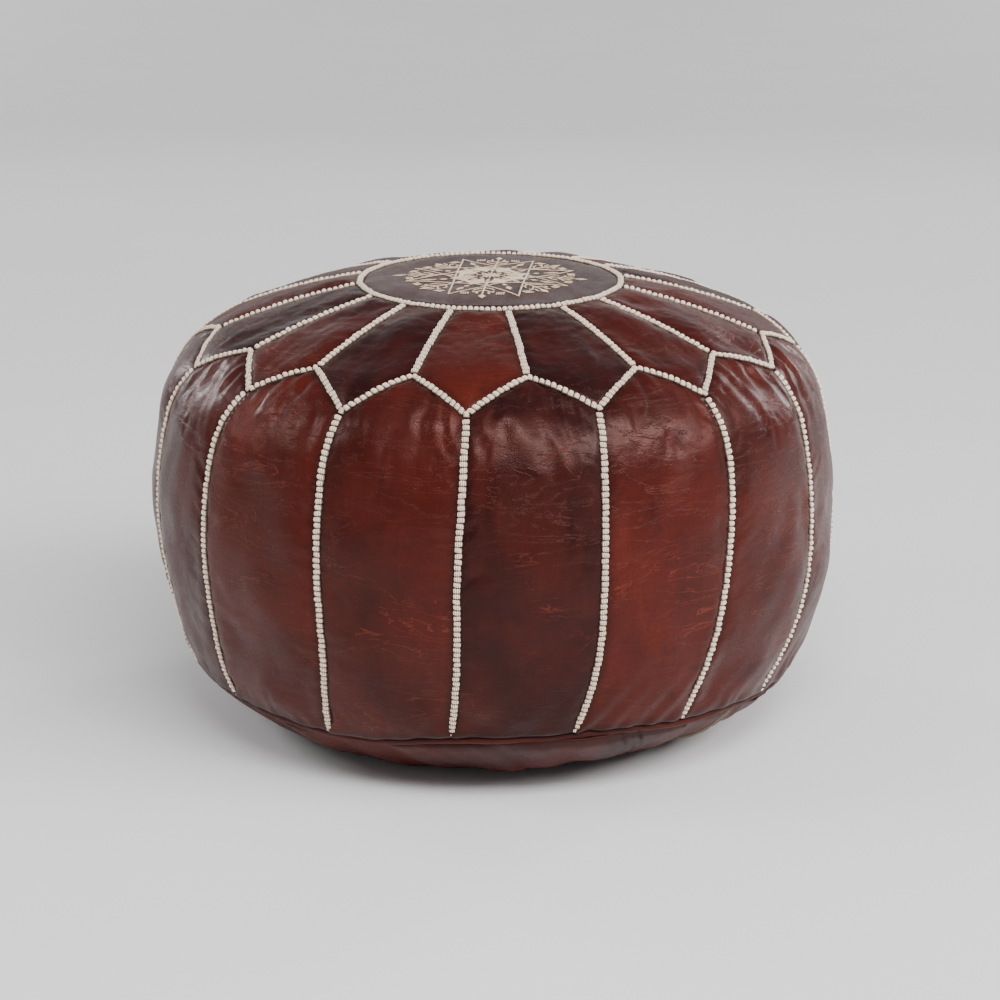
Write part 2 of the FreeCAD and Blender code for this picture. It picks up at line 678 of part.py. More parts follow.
def add_medallion_braid():
    body = new_body("medallion_braid")
    outline = Outline(new_sketch(body, "Ring", "XZ_Plane"))
    middle = dim("ring_braid_radius")
    half = dim("braid_width") / 2
    crown_band(
        outline,
        "Dims.ring_braid_radius + Dims.braid_width / 2",
        "Dims.ring_braid_radius - Dims.braid_width / 2",
        middle + half,
        middle - half,
    )
    revolve(body, outline.sketch, "360")


def crown_band(outline, foot_text, head_text, foot, head):
    """Closed strip of braid section that lies on the crown between two radii."""
    arcs = []
    for offset, text in braid_offsets():
        arcs.append(axis_arc(outline, "crown", offset, text, foot, foot_text, head, head_text))
    outline.close(arcs[0], START, arcs[1], START)
    outline.close(arcs[0], END, arcs[1], END)


def add_zigzag_braid():
    """Chevron over one side panel, repeated into a closed zigzag ring."""
    body = new_body("zigzag_braid", heading(panel_azimuth(0, 0.5)))
    outline = Outline(new_sketch(body, "Band", "XZ_Plane"))
    ends = []
    foot, head = "top_panel_foot_radius", "radial_braid_foot_radius"
    for offset, text in braid_offsets():
        ends.append(shoulder_and_crown(outline, offset, text, foot, head))
    outline.close(ends[0][0], START, ends[1][0], START)
    outline.close(ends[0][1], END, ends[1][1], END)
    revolve(body, outline.sketch, "360 / Dims.panel_count")
    reach = dim("zigzag_reach")
    cut_beside_seam(body, "high", "low", "-1 * Dims.zigzag_reach", -reach, -1)
    cut_beside_seam(body, "high", "low", "Dims.zigzag_reach", reach, 1)
    polar_copies(body)


def add_embroidery():
    """Eight-pointed star with a spoked centre: straight bars cut to a thin shell over the medallion."""
    points = 8
    skip = 3
    radius = dim("star_radius")
    width = dim("star_line_width")
    top = dim("crown_height")
    bottom = dim("point_high_height")
    step = 2 * math.pi / points
    bars = []
    for index in range(points):
        start = around(index * step) * radius
        end = around((index + skip) * step) * radius
        bars.append(bar_between(start, end, width, bottom, top))
        tip = around((index + 0.5) * step) * dim("spoke_length")
        bars.append(bar_between(Vector(), tip, width, bottom, top))
    centre = Vector(0, 0, dim("medallion_height") - dim("dome_radius"))
    low = dim("dome_radius") + dim("star_lift")
    under = Part.makeSphere(low, centre)
    over = Part.makeSphere(low + dim("star_height"), centre)
    cut_bars = bars[0].multiFuse(bars[1:])
    shell = cut_bars.common(over).cut(under)
    star = doc.addObject("Part::Feature", "medallion_embroidery")
    star.Label = "medallion_embroidery"
    star.Shape = shell.removeSplitter()


def around(angle):
    """Unit vector in the plan, at an angle in radians."""
    return Vector(math.cos(angle), math.sin(angle), 0)


def bar_between(start, end, width, bottom, top):
    """Upright bar whose footprint is a line of a given width."""
    along = end - start
    bar = Part.makeBox(along.Length, width, top - bottom, Vector(0, -width / 2, bottom))
    bar.rotate(Vector(), Z_AXIS, math.degrees(math.atan2(along.y, along.x)))
    bar.translate(start)
    return bar


# ---------------------------------------------------------------- zip

def add_zip_strip(label, azimuth, name, depths, edges):
    body = new_body(label, heading(azimuth))
    add_along_zip(body, name, depths, edges, "zip_rim_height")


def add_slider():
    """Slider: inner and outer plates joined by a thin blade, with flanges and a bail for the pull tab."""
    body = new_body("zip_slider", slider_placement())
    half_length = "Dims.slider_length / 2"
    for plate in ("outer", "inner"):
        block(
            body,
            f"{plate.capitalize()}Plate",
            f"{plate}_plate_bottom",
            f"Dims.{plate}_plate_thickness",
            half_length,
            f"Dims.{plate}_plate_width / 2",
        )
    block(
        body,
        "Blade",
        "outer_plate_bottom",
        "Dims.inner_plate_bottom - Dims.outer_plate_bottom + Dims.inner_plate_thickness",
        "Dims.blade_length / 2",
        "Dims.blade_width / 2",
    )
    for side in (1, -1):
        edge = side * (dim("outer_plate_width") / 2 - dim("flange_width") / 2)
        strip(body, f"Flange{'Left' if side > 0 else 'Right'}", edge, 0, "outer_plate_bottom",
              "Dims.flange_top - Dims.outer_plate_bottom", half_length, "Dims.flange_width / 2")
        post = side * (dim("bail_length") / 2 - dim("bail_post") / 2)
        strip(body, f"Post{'Front' if side > 0 else 'Rear'}", 0, post, "bail_bottom",
              "Dims.outer_plate_bottom - Dims.bail_bottom + Dims.outer_plate_thickness / 2",
              "Dims.bail_post / 2", "Dims.bail_width / 2")
    block(body, "BailBar", "bail_bottom", "Dims.bail_bar", "Dims.bail_length / 2", "Dims.bail_width / 2")


def slider_placement():
    turn = heading(dim("zip_azimuth"))
    return turn.multiply(Placement(Vector(dim("slider_rest"), 0, 0), Rotation()))


def block(body, name, bottom_alias, height_text, half_x_text, half_y_text):
    """Upright block centred on the body's axis, standing at a height."""
    strip(body, name, 0, 0, bottom_alias, height_text, half_x_text, half_y_text)


def strip(body, name, shift_y, shift_x, bottom_alias, height_text, half_x_text, half_y_text):
    """Upright block centred on a point of the plan."""
    place = Placement(Vector(shift_x, shift_y, dim(bottom_alias)), Rotation())
    outline = Outline(new_sketch(body, name, "XY_Plane", place))
    outline.sketch.setExpression("AttachmentOffset.Base.z", f"Dims.{bottom_alias}")
    texts = (f"-1 * {half_x_text}", half_x_text, f"-1 * {half_y_text}", half_y_text)
    rectangle(outline, -BLOCK_START_X, BLOCK_START_X, -BLOCK_START_Y, BLOCK_START_Y, texts)
    pad_up(body, outline.sketch, height_text)


def add_pull_tab():
    """Flat tab with an open eye whose end bar turns inside the slider's bail."""
    body = new_body("zip_pull_tab", slider_placement())
    place = Placement(Vector(0, 0, dim("pull_axis_height")), Rotation())
    outline = Outline(new_sketch(body, "Tab", "XY_Plane", place))
    outline.sketch.setExpression("AttachmentOffset.Base.z", "Dims.pull_axis_height")
    half = dim("pull_width") / 2
    texts = ("-1 * Dims.pull_heel", "Dims.pull_length", "-1 * Dims.pull_width / 2", "Dims.pull_width / 2")
    rectangle(outline, -dim("pull_heel"), dim("pull_length"), -half, half, texts)
    plate = pad_symmetric(body, outline.sketch, "Dims.pull_thickness")
    outline = Outline(new_sketch(body, "Eye", "XY_Plane", place))
    outline.sketch.setExpression("AttachmentOffset.Base.z", "Dims.pull_axis_height")
    eye = dim("eye_width") / 2
    texts = ("-2 * Dims.pull_heel", "Dims.eye_length", "-1 * Dims.eye_width / 2", "Dims.eye_width / 2")
    rectangle(outline, -2 * dim("pull_heel"), dim("eye_length"), -eye, eye, texts)
    opening = body.newObject("PartDesign::Pocket", "EyeOpening")
    opening.Profile = outline.sketch
    opening.Type = "ThroughAll"
    opening.Midplane = True
    outline = Outline(new_sketch(body, "Pin", "XZ_Plane"))
    middle = Vector(0, dim("pull_axis_height"), 0)
    round_bar = Part.Circle(middle, Z_AXIS, dim("pull_pin_radius"))
    circle = outline.sketch.addGeometry(round_bar, False)
    outline.on_axis(circle, CENTRE)
    outline.pin_y(circle, CENTRE, "Dims.pull_axis_height")
    outline.pin_radius(circle, "Dims.pull_pin_radius")
    pin = pad_symmetric(body, outline.sketch, "Dims.pull_width - Dims.pull_pin_radius")
    doc.recompute()
    round_tip(body, pin, plate)


def round_tip(body, feature, plate):
    """Fillet on the two upright edges at the tab's tip."""
    tip = dim("pull_length")
    names = []
    for index, edge in enumerate(feature.Shape.Edges, start=1):
        middle = edge.CenterOfMass
        upright = abs(edge.Length - plate.Length.Value) < 1e-4
        if upright and abs(middle.x - tip) < 1e-4:
            names.append(f"Edge{index}")
    fillet = body.newObject("PartDesign::Fillet", "Tip")
    fillet.Base = (feature, names)
    fillet.setExpression("Radius", "Dims.pull_corner")


# ---------------------------------------------------------------- document

def build():
    fill_sheet()
    add_medallion()
    for index in range(int(dim("panel_count"))):
        add_top_panel(index + 1, panel_azimuth(index, 0))
        add_side_panel(index + 1, panel_azimuth(index, 0.5))
    zip_ends = {"left": dim("zip_azimuth"), "right": dim("zip_azimuth") + 180}
    for side, azimuth in zip_ends.items():
        add_base_panel(f"base_panel_{side}", azimuth)
        add_zip_strip(f"zip_tape_{side}", azimuth, "Tape", ("tape_depth", "tape_inner_depth"),
                      ("tape_inner_edge", "tape_outer_edge"))
        add_zip_strip(f"zip_coil_{side}", azimuth, "Coil", ("coil_depth", "coil_inner_depth"),
                      ("coil_inner_edge", "coil_outer_edge"))
    add_welt()
    add_filling()
    add_side_seam_braids()
    add_radial_seam_braids()
    add_medallion_braid()
    add_zigzag_braid()
    add_embroidery()
    add_slider()
    add_pull_tab()
    doc.recompute()


def sub_parts():
    kinds = ("PartDesign::Body", "Part::Torus")
    return [item for item in doc.Objects if item.TypeId in kinds or item.Name == "medallion_embroidery"]


def check():
    for item in doc.Objects:
        if "Invalid" in item.State or "Error" in item.State:
            raise RuntimeError(f"{item.Name} ({item.TypeId}) failed: {item.State}")
    for part in sub_parts():
        if part.Shape.isNull() or not part.Shape.isValid() or not part.Shape.Solids:
            raise RuntimeError(f"{part.Label} has no valid solid")


def export():
    os.makedirs("parts", exist_ok=True)
    for part in sub_parts():
        part.Shape.exportStep(f"parts/{part.Label}.step")
        box = part.Shape.BoundBox
        print(f"{part.Label}: {len(part.Shape.Solids)} solid(s), {part.Shape.Volume / 1000:.2f} cm3, "
              f"z {box.ZMin:.2f} to {box.ZMax:.2f}")


build()
check()
export()
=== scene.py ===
"""Stuffed leather pouf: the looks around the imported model.

Every curved piece lies on one skin. A place on the skin is an azimuth, in radians from the front (-Y)
towards the right (+X), and a path, in metres along the cover's outline from the middle of the base,
round the side, to the middle of the top. Seams, panels, braids, welt and zip are laid out in those two
numbers, and spot() turns them into points.
"""
import math

import bpy
import numpy as np
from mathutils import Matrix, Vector


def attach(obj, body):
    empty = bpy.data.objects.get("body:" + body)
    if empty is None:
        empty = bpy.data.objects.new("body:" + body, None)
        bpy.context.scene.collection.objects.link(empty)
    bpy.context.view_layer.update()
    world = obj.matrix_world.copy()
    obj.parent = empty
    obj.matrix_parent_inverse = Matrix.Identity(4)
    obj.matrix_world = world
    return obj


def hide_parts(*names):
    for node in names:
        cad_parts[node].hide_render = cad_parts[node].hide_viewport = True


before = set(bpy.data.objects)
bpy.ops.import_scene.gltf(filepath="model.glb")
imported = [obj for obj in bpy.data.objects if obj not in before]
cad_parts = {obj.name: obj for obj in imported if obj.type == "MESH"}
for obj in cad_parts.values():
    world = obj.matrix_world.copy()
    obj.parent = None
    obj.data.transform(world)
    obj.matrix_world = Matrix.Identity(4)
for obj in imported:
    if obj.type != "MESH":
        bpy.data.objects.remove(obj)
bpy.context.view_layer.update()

MM = 0.001

# ---------------------------------------------------------------- sizes, as in the CAD, in metres
EQUATOR_RADIUS = 0.265
EQUATOR_HEIGHT = 0.173
CROWN_HEIGHT = 0.353
MEDALLION_HEIGHT = 0.3456
DOME_RADIUS = 2.0
LOWER_SIDE_RADIUS = 0.300
SHOULDER_RADIUS = 0.082
SHOULDER_CENTRE = (0.176, 0.235)
BASE_FLAT_RADIUS = 0.128
BASE_ARC_RADIUS = 0.151
BASE_RIM_HEIGHT = 0.0458
SIDE_FOOT_HEIGHT = 0.0543
POINT_LOW_RADIUS = 0.233
POINT_HIGH_RADIUS = 0.206
RING_RADIUS = 0.101
SKIN = 0.002

PANELS = 16
STEP = 2 * math.pi / PANELS
FIRST_SEAM = math.radians(-4.4)
ZIP_AZIMUTH = math.radians(49.0)

# ---------------------------------------------------------------- the hand-made object's irregularities
# The medallion was sewn a little off the middle, towards the front and the left.
RING_CENTRE = (-0.0012, -0.008)
# The ring round it was drawn straight between the radial seams, as a share of its radius.
RING_FLAT = 0.009

# The offsets in SEAM_RUN, LOW_POINT_SHIFT, HIGH_POINT_SHIFT and FOOT_PULL weren't chosen by hand. A scratch
# program projected points of the photo's seams back on the cover and printed them. The two tables of the
# zigzag are those projections, rounded, but for one value, and the other two were changed after that.

# Sideways run of each side seam, in millimetres to the right of a straight meridian, at the stations
# SEAM_STATIONS from its foot to its head. Seams at the back get a small run of their own.
SEAM_STATIONS = (0.0, 0.22, 0.5, 0.78, 1.0)
SEAM_RUN = {
    -3: (-8, -12, -12, -8, 0),
    -2: (-21, -23, -18, -14, 3),
    -1: (-15, -10, -6, -5, 1),
    0: (-12, -9, -5, -1, 0),
    1: (-18, -10, -4, -1, 3),
    2: (-25, -17, -4, 4, 1),
    3: (-26, -10, 4, 6, 4),
    4: (-12, -6, 0, 4, 5),
}
# Where the zigzag's points lie against the regular layout: millimetres to the right, and up the slope.
LOW_POINT_SHIFT = {
    -3: (6, -3), -2: (3, -2), -1: (1, -4), 0: (0, 0),
    1: (3, 2), 2: (1, 1), 3: (4, 3), 4: (5, 1),
}
HIGH_POINT_SHIFT = {
    -3: (0, -5), -2: (6, -2), -1: (2, -1), 0: (-2, 4),
    1: (1, 5), 2: (5, 5), 3: (1, 2), 4: (9, -4),
}
# How far up the slope the foot of each seam is pulled, in millimetres.
FOOT_PULL = {-3: 0, -2: -4, -1: -8, 0: 4, 1: 5.5, 2: 1, 3: -3}
UNSEEN_SPREAD = 4.0
# The stuffing has settled a little to the right low down.
SETTLE_SHIFT = 0.0035
SETTLE_HEIGHT = 0.110
SETTLE_REACH = 0.055
# Low down on the left the cover is drawn in.
SQUEEZE = 0.0035
SQUEEZE_AZIMUTH = math.radians(-58)
SQUEEZE_HEIGHT = 0.036
SQUEEZE_REACH = 0.024


# ---------------------------------------------------------------- outline of the cover
OUTLINE_STEP = 0.0005


def arc(centre, radius, start, end):
    """Points of an arc in the radius-height plane, from one angle to another in radians."""
    count = max(2, int(radius * abs(end - start) / OUTLINE_STEP))
    turn = np.linspace(start, end, count + 1)
    return np.column_stack([centre[0] + radius * np.cos(turn), centre[1] + radius * np.sin(turn)])


def cover_outline():
    """Outline from the middle of the base to the middle of the top.

    Flat, base arc, four tangent arcs of the sides, and the medallion's shallower dome.
    """
    across = EQUATOR_RADIUS - SHOULDER_CENTRE[0]
    drop = SHOULDER_CENTRE[1] - EQUATOR_HEIGHT
    upper = (across ** 2 + drop ** 2 - SHOULDER_RADIUS ** 2) / (2 * (across - SHOULDER_RADIUS))
    upper_turn = math.atan2(drop, upper - across)
    rise = CROWN_HEIGHT - SHOULDER_CENTRE[1]
    crown = (SHOULDER_CENTRE[0] ** 2 + rise ** 2 - SHOULDER_RADIUS ** 2) / (2 * (rise - SHOULDER_RADIUS))
    crown_turn = math.atan2(crown - rise, SHOULDER_CENTRE[0])
    foot_turn = math.asin((SIDE_FOOT_HEIGHT - EQUATOR_HEIGHT) / LOWER_SIDE_RADIUS)
    rim_turn = math.acos(1 - BASE_RIM_HEIGHT / BASE_ARC_RADIUS)
    flat = np.linspace((0.0, 0.0), (BASE_FLAT_RADIUS, 0.0), 200)
    base_arc = arc((BASE_FLAT_RADIUS, BASE_ARC_RADIUS), BASE_ARC_RADIUS, -math.pi / 2, rim_turn - math.pi / 2)
    lower = arc((EQUATOR_RADIUS - LOWER_SIDE_RADIUS, EQUATOR_HEIGHT), LOWER_SIDE_RADIUS, foot_turn, 0.0)
    upper_arc = arc((EQUATOR_RADIUS - upper, EQUATOR_HEIGHT), upper, 0.0, upper_turn)
    shoulder = arc(SHOULDER_CENTRE, SHOULDER_RADIUS, upper_turn, crown_turn)
    top = arc((0.0, CROWN_HEIGHT - crown), crown, crown_turn, math.acos(RING_RADIUS / crown))
    dome_turn = math.acos(RING_RADIUS / DOME_RADIUS)
    dome = arc((0.0, MEDALLION_HEIGHT - DOME_RADIUS), DOME_RADIUS, dome_turn, math.pi / 2)
    return np.vstack([flat, base_arc[1:], lower, upper_arc[1:], shoulder[1:], top[1:], dome[1:]])


def even_outline(outline):
    """Outline in even steps: path, radius, height, and the two parts of the outward normal."""
    steps = np.hypot(*np.diff(outline, axis=0).T)
    paths = np.concatenate([[0.0], np.cumsum(steps)])
    even = np.arange(0.0, paths[-1], OUTLINE_STEP)
    radius = np.interp(even, paths, outline[:, 0])
    height = np.interp(even, paths, outline[:, 1])
    blur = np.ones(9) / 9
    out_r = np.convolve(np.pad(np.gradient(height), 4, mode="edge"), blur, "valid")
    out_z = np.convolve(np.pad(-np.gradient(radius), 4, mode="edge"), blur, "valid")
    size = np.hypot(out_r, out_z)
    return even, radius, height, out_r / size, out_z / size


EVEN, RADIUS, HEIGHT, OUT_R, OUT_Z = even_outline(cover_outline())
WIDEST = int(np.argmax(RADIUS))
ON_SIDE = HEIGHT > SIDE_FOOT_HEIGHT - 0.001


def path_at_height(height):
    return float(np.interp(height, HEIGHT[ON_SIDE], EVEN[ON_SIDE]))


def path_at_radius(radius):
    """Path of a circle of that radius above the widest line."""
    return np.interp(-np.asarray(radius), -RADIUS[WIDEST:], EVEN[WIDEST:])


RIM_PATH = BASE_FLAT_RADIUS + BASE_ARC_RADIUS * math.acos(1 - BASE_RIM_HEIGHT / BASE_ARC_RADIUS)
FOOT_PATH = path_at_height(SIDE_FOOT_HEIGHT)
WELT_PATH = (RIM_PATH + FOOT_PATH) / 2
LOW_POINT_PATH = float(path_at_radius(POINT_LOW_RADIUS))
HIGH_POINT_PATH = float(path_at_radius(POINT_HIGH_RADIUS))


def spot(azimuth, path, lift=0.0):
    """Points on the skin, lifted along its normal, as an array with x, y and z last."""
    azimuth, path, lift = np.broadcast_arrays(azimuth, path, lift)
    radius = np.interp(path, EVEN, RADIUS) + lift * np.interp(path, EVEN, OUT_R)
    height = np.interp(path, EVEN, HEIGHT) + lift * np.interp(path, EVEN, OUT_Z)
    squeeze = np.exp(-(((height - SQUEEZE_HEIGHT) / SQUEEZE_REACH) ** 2)) * np.clip(height / 0.02, 0, 1)
    radius = radius - SQUEEZE * squeeze * np.clip(np.cos(azimuth - SQUEEZE_AZIMUTH), 0, 1) ** 4
    settle = SETTLE_SHIFT * np.exp(-(((height - SETTLE_HEIGHT) / SETTLE_REACH) ** 2))
    settle = settle * np.clip(height / 0.03, 0, 1)
    return np.stack([radius * np.sin(azimuth) + settle, -radius * np.cos(azimuth), height], -1)


def outward(azimuth, path):
    """Unit normals of the skin."""
    azimuth, path = np.broadcast_arrays(azimuth, path)
    out = np.interp(path, EVEN, OUT_R)
    return np.stack([out * np.sin(azimuth), -out * np.cos(azimuth), np.interp(path, EVEN, OUT_Z)], -1)


# ---------------------------------------------------------------- smooth random fields
def ripples(points, wavelength, seed, waves=24, stretch=None):
    """Smooth random field over points, about -1 to 1, from seeded plane waves near one wavelength."""
    rng = np.random.default_rng(seed)
    points = np.asarray(points, float)
    if stretch is not None:
        points = points * np.asarray(stretch, float)
    directions = rng.normal(size=(waves, points.shape[-1]))
    directions /= np.linalg.norm(directions, axis=1, keepdims=True)
    pitch = 2 * math.pi / (wavelength * rng.uniform(0.75, 1.5, waves))
    phases = rng.uniform(0, 2 * math.pi, waves)
    field = np.zeros(points.shape[:-1])
    for direction, wave, phase in zip(directions, pitch, phases):
        field += np.cos(points @ direction * wave + phase)
    return field / math.sqrt(waves)


def smooth(values, low, high):
    """0 below low, 1 above high, and an even S between them."""
    share = np.clip((np.asarray(values, float) - low) / (high - low), 0, 1)
    return share * share * (3 - 2 * share)


# ---------------------------------------------------------------- the seams
def unseen(seed, spread=UNSEEN_SPREAD, count=2):
    return tuple(np.random.default_rng(seed).uniform(-spread, spread, count))


def wrap(index):
    """Seam index from -7 to 8."""
    return (index + 7) % PANELS - 7


def seam_azimuth(index):
    return FIRST_SEAM + index * STEP


def low_point(index):
    """Azimuth and path of the zigzag's point at the head of side seam index."""
    right, up = LOW_POINT_SHIFT.get(wrap(index)) or unseen(100 + wrap(index))
    return np.array([seam_azimuth(index) + right * MM / POINT_LOW_RADIUS, LOW_POINT_PATH + up * MM])


def high_point(index):
    """Azimuth and path of the zigzag's point between side seams index - 1 and index."""
    right, up = HIGH_POINT_SHIFT.get(wrap(index)) or unseen(200 + wrap(index))
    return np.array([seam_azimuth(index - 0.5) + right * MM / POINT_HIGH_RADIUS, HIGH_POINT_PATH + up * MM])


def foot_pull(azimuth):
    """How far up the slope the lower edge of the cover is pulled at an azimuth, in metres."""
    seams = range(-7, 10)
    stations = np.array([seam_azimuth(index) for index in seams])
    pulls = np.array([FOOT_PULL.get(wrap(index), unseen(300 + wrap(index), 3.0, 1)[0]) for index in seams])
    turned = (np.asarray(azimuth) - stations[0]) % (2 * math.pi) + stations[0]
    share = (turned - stations[0]) / STEP
    cell = np.clip(share.astype(int), 0, PANELS - 1)
    rise = smooth(share - cell, 0, 1)
    return (pulls[cell] * (1 - rise) + pulls[cell + 1] * rise) * MM


def bend_through(stations, values, at):
    """Smooth curve through a few values: a polynomial of the lowest degree that meets them all."""
    return np.polyval(np.polyfit(stations, values, len(stations) - 1), at)


def side_seam(index, count):
    """Side seam from its foot to its head, as count places on the skin."""
    run = SEAM_RUN.get(wrap(index)) or unseen(400 + wrap(index), 6.0, len(SEAM_STATIONS))
    share = np.linspace(0, 1, count)
    head = low_point(index)
    head_run = (head[0] - seam_azimuth(index)) * POINT_LOW_RADIUS / MM
    values = [*run[:-1], head_run]
    sideways = bend_through(SEAM_STATIONS, values, share) * MM
    foot_azimuth = seam_azimuth(index) + sideways[0] / POINT_LOW_RADIUS
    foot = FOOT_PATH + float(foot_pull(foot_azimuth))
    path = foot + (head[1] - foot) * share
    radius = np.interp(path, EVEN, RADIUS)
    azimuth = seam_azimuth(index) + sideways / radius
    azimuth += (head[0] - azimuth[-1]) * share ** 6
    return np.column_stack([azimuth, path])


ZIGZAG_BOW = 0.0022


def zigzag_side(start, end, count):
    """One straight side of the zigzag, bowed a little towards the top."""
    share = np.linspace(0, 1, count)
    places = start + (end - start) * share[:, None]
    places[:, 1] += ZIGZAG_BOW * 4 * share * (1 - share)
    return places


def ring_place(angle, share=1.0):
    """Place on the ring, or at a share of the way to it, angle from the front towards the right."""
    turn = (np.asarray(angle) - ring_head(0)) / STEP
    bulge = 1 - (2 * (turn - np.floor(turn)) - 1) ** 2
    radius = RING_RADIUS * (1 - RING_FLAT * bulge) * share
    x = RING_CENTRE[0] + radius * np.sin(angle)
    y = RING_CENTRE[1] - radius * np.cos(angle)
    return np.stack([np.arctan2(x, -y), path_at_radius(np.hypot(x, y))], -1)


def ring_head(index):
    """Angle on the ring where radial seam index meets it."""
    return float(high_point(index)[0]) * 0.93 + float(seam_azimuth(index - 0.5)) * 0.07


def radial_seam(index, count):
    """Radial seam from the zigzag to the ring."""
    start = high_point(index)
    angle = ring_head(index)
    end = ring_place(angle)
    if end[0] - start[0] > math.pi:
        end = end - np.array([2 * math.pi, 0])
    if start[0] - end[0] > math.pi:
        end = end + np.array([2 * math.pi, 0])
    share = np.linspace(0, 1, count)[:, None]
    x0, y0 = spot(*start)[:2]
    x1, y1 = spot(*end)[:2]
    x = x0 + (x1 - x0) * share[:, 0]
    y = y0 + (y1 - y0) * share[:, 0]
    azimuth = np.unwrap(np.arctan2(x, -y))
    azimuth += 2 * math.pi * round((start[0] - azimuth[0]) / (2 * math.pi))
    path = start[1] + (end[1] - start[1]) * share[:, 0]
    return np.column_stack([azimuth, path])


# ---------------------------------------------------------------- panels as grids on the skin
SIDE_COLUMNS, SIDE_ROWS = 25, 62
TOP_COLUMNS, TOP_ROWS = 21, 32
MEDALLION_CELLS = 44


def coons(bottom, top, left, right):
    """Grid between four edges that share their corners, rows from bottom to top."""
    u = np.linspace(0, 1, len(bottom))[None, :, None]
    v = np.linspace(0, 1, len(left))[:, None, None]
    ruled_up = (1 - v) * bottom[None] + v * top[None]
    ruled_across = (1 - u) * left[:, None] + u * right[:, None]
    corners = ((1 - u) * (1 - v) * bottom[0] + u * (1 - v) * bottom[-1]
               + (1 - u) * v * top[0] + u * v * top[-1])
    return ruled_up + ruled_across - corners


def point_edge(first, middle, last, count):
    """Two sides of the zigzag, from first over middle to last."""
    half = count // 2 + 1
    return np.vstack([zigzag_side(first, middle, half), zigzag_side(middle, last, half)[1:]])


def side_grid(index):
    left = side_seam(index, SIDE_ROWS)
    right = side_seam(index + 1, SIDE_ROWS)
    azimuth = np.linspace(left[0, 0], right[0, 0], SIDE_COLUMNS)
    bottom = np.column_stack([azimuth, FOOT_PATH + foot_pull(azimuth)])
    top = point_edge(left[-1], high_point(index + 1), right[-1], SIDE_COLUMNS)
    return coons(bottom, top, left, right)


def top_grid(index):
    left = radial_seam(index, TOP_ROWS)
    right = radial_seam(index + 1, TOP_ROWS)
    low = low_point(index)
    bottom = point_edge(left[0], low, right[0], TOP_COLUMNS)
    angles = np.linspace(ring_head(index), ring_head(index + 1), TOP_COLUMNS)
    top = ring_place(angles)
    top[:, 0] = np.unwrap(top[:, 0])
    top[:, 0] += 2 * math.pi * round((left[-1, 0] - top[0, 0]) / (2 * math.pi))
    top[0], top[-1] = left[-1], right[-1]
    return coons(bottom, top, left, right)


def disc_grid(cells):
    """Square grid bent into a unit disc, so that its cells stay nearly square."""
    line = np.linspace(-1, 1, cells + 1)
    a, b = np.meshgrid(line, line)
    return a * np.sqrt(1 - b * b / 2), b * np.sqrt(1 - a * a / 2)


def medallion_grid(cells):
    a, b = disc_grid(cells)
    return ring_place(np.arctan2(a, -b), np.hypot(a, b))


def edge_distance(points):
    """Distance of each point of a grid from the grid's nearest edge."""
    edge = np.vstack([points[0], points[-1], points[:, 0], points[:, -1]])
    flat = points.reshape(-1, 3)
    nearest = np.full(len(flat), 1.0)
    for start in range(0, len(flat), 400):
        block = flat[start:start + 400]
        nearest[start:start + 400] = np.linalg.norm(block[:, None] - edge[None], axis=2).min(1)
    return nearest.reshape(points.shape[:2])


def halved(values):
    """Grid with a point added half way between every two, on a smooth curve through its neighbours."""
    for axis in (0, 1):
        line = np.moveaxis(values, axis, 0)
        before = np.concatenate([line[:1], line[:-2]])
        after = np.concatenate([line[2:], line[-1:]])
        between = (9 * (line[:-1] + line[1:]) - before - after) / 16
        fine = np.empty((2 * len(line) - 1, *line.shape[1:]))
        fine[::2], fine[1::2] = line, between
        values = np.moveaxis(fine, 0, axis)
    return values


def grid_faces(rows, columns, first=0):
    """Quads of a grid, turned so that they face outwards."""
    faces = []
    for row in range(rows - 1):
        for column in range(columns - 1):
            corner = first + row * columns + column
            faces.append((corner, corner + 1, corner + columns + 1, corner + columns))
    return faces


# ---------------------------------------------------------------- stuffing the cover: cloth under pressure
PUFF = 0.0016
PUFF_REACH = 0.016
CLOTH_FRAMES = 20
CLOTH_PRESSURE = 4.0
CLOTH_GROWTH = -0.005
FOLD_GROWTH = -0.022
SINK_LIMIT = -0.0012
SWELL_LIMIT = 0.0042
SLIDE_LIMIT = 0.003


def new_object(name, points, faces, material=None):
    mesh = bpy.data.meshes.new(name)
    mesh.from_pydata([tuple(p) for p in np.asarray(points).reshape(-1, 3)], [], faces)
    mesh.validate()
    mesh.update()
    for polygon in mesh.polygons:
        polygon.use_smooth = True
    if material:
        mesh.materials.append(material)
    made = bpy.data.objects.new(name, mesh)
    bpy.context.scene.collection.objects.link(made)
    return made


def settle_piece(piece, node):
    """The piece takes the place of a CAD node on the body that doesn't move."""
    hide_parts(node)
    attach(piece, "root")


def pillow(distance):
    """Height that stuffing gives a panel at a distance from its seams."""
    return PUFF * (1 - np.exp(-distance / PUFF_REACH))


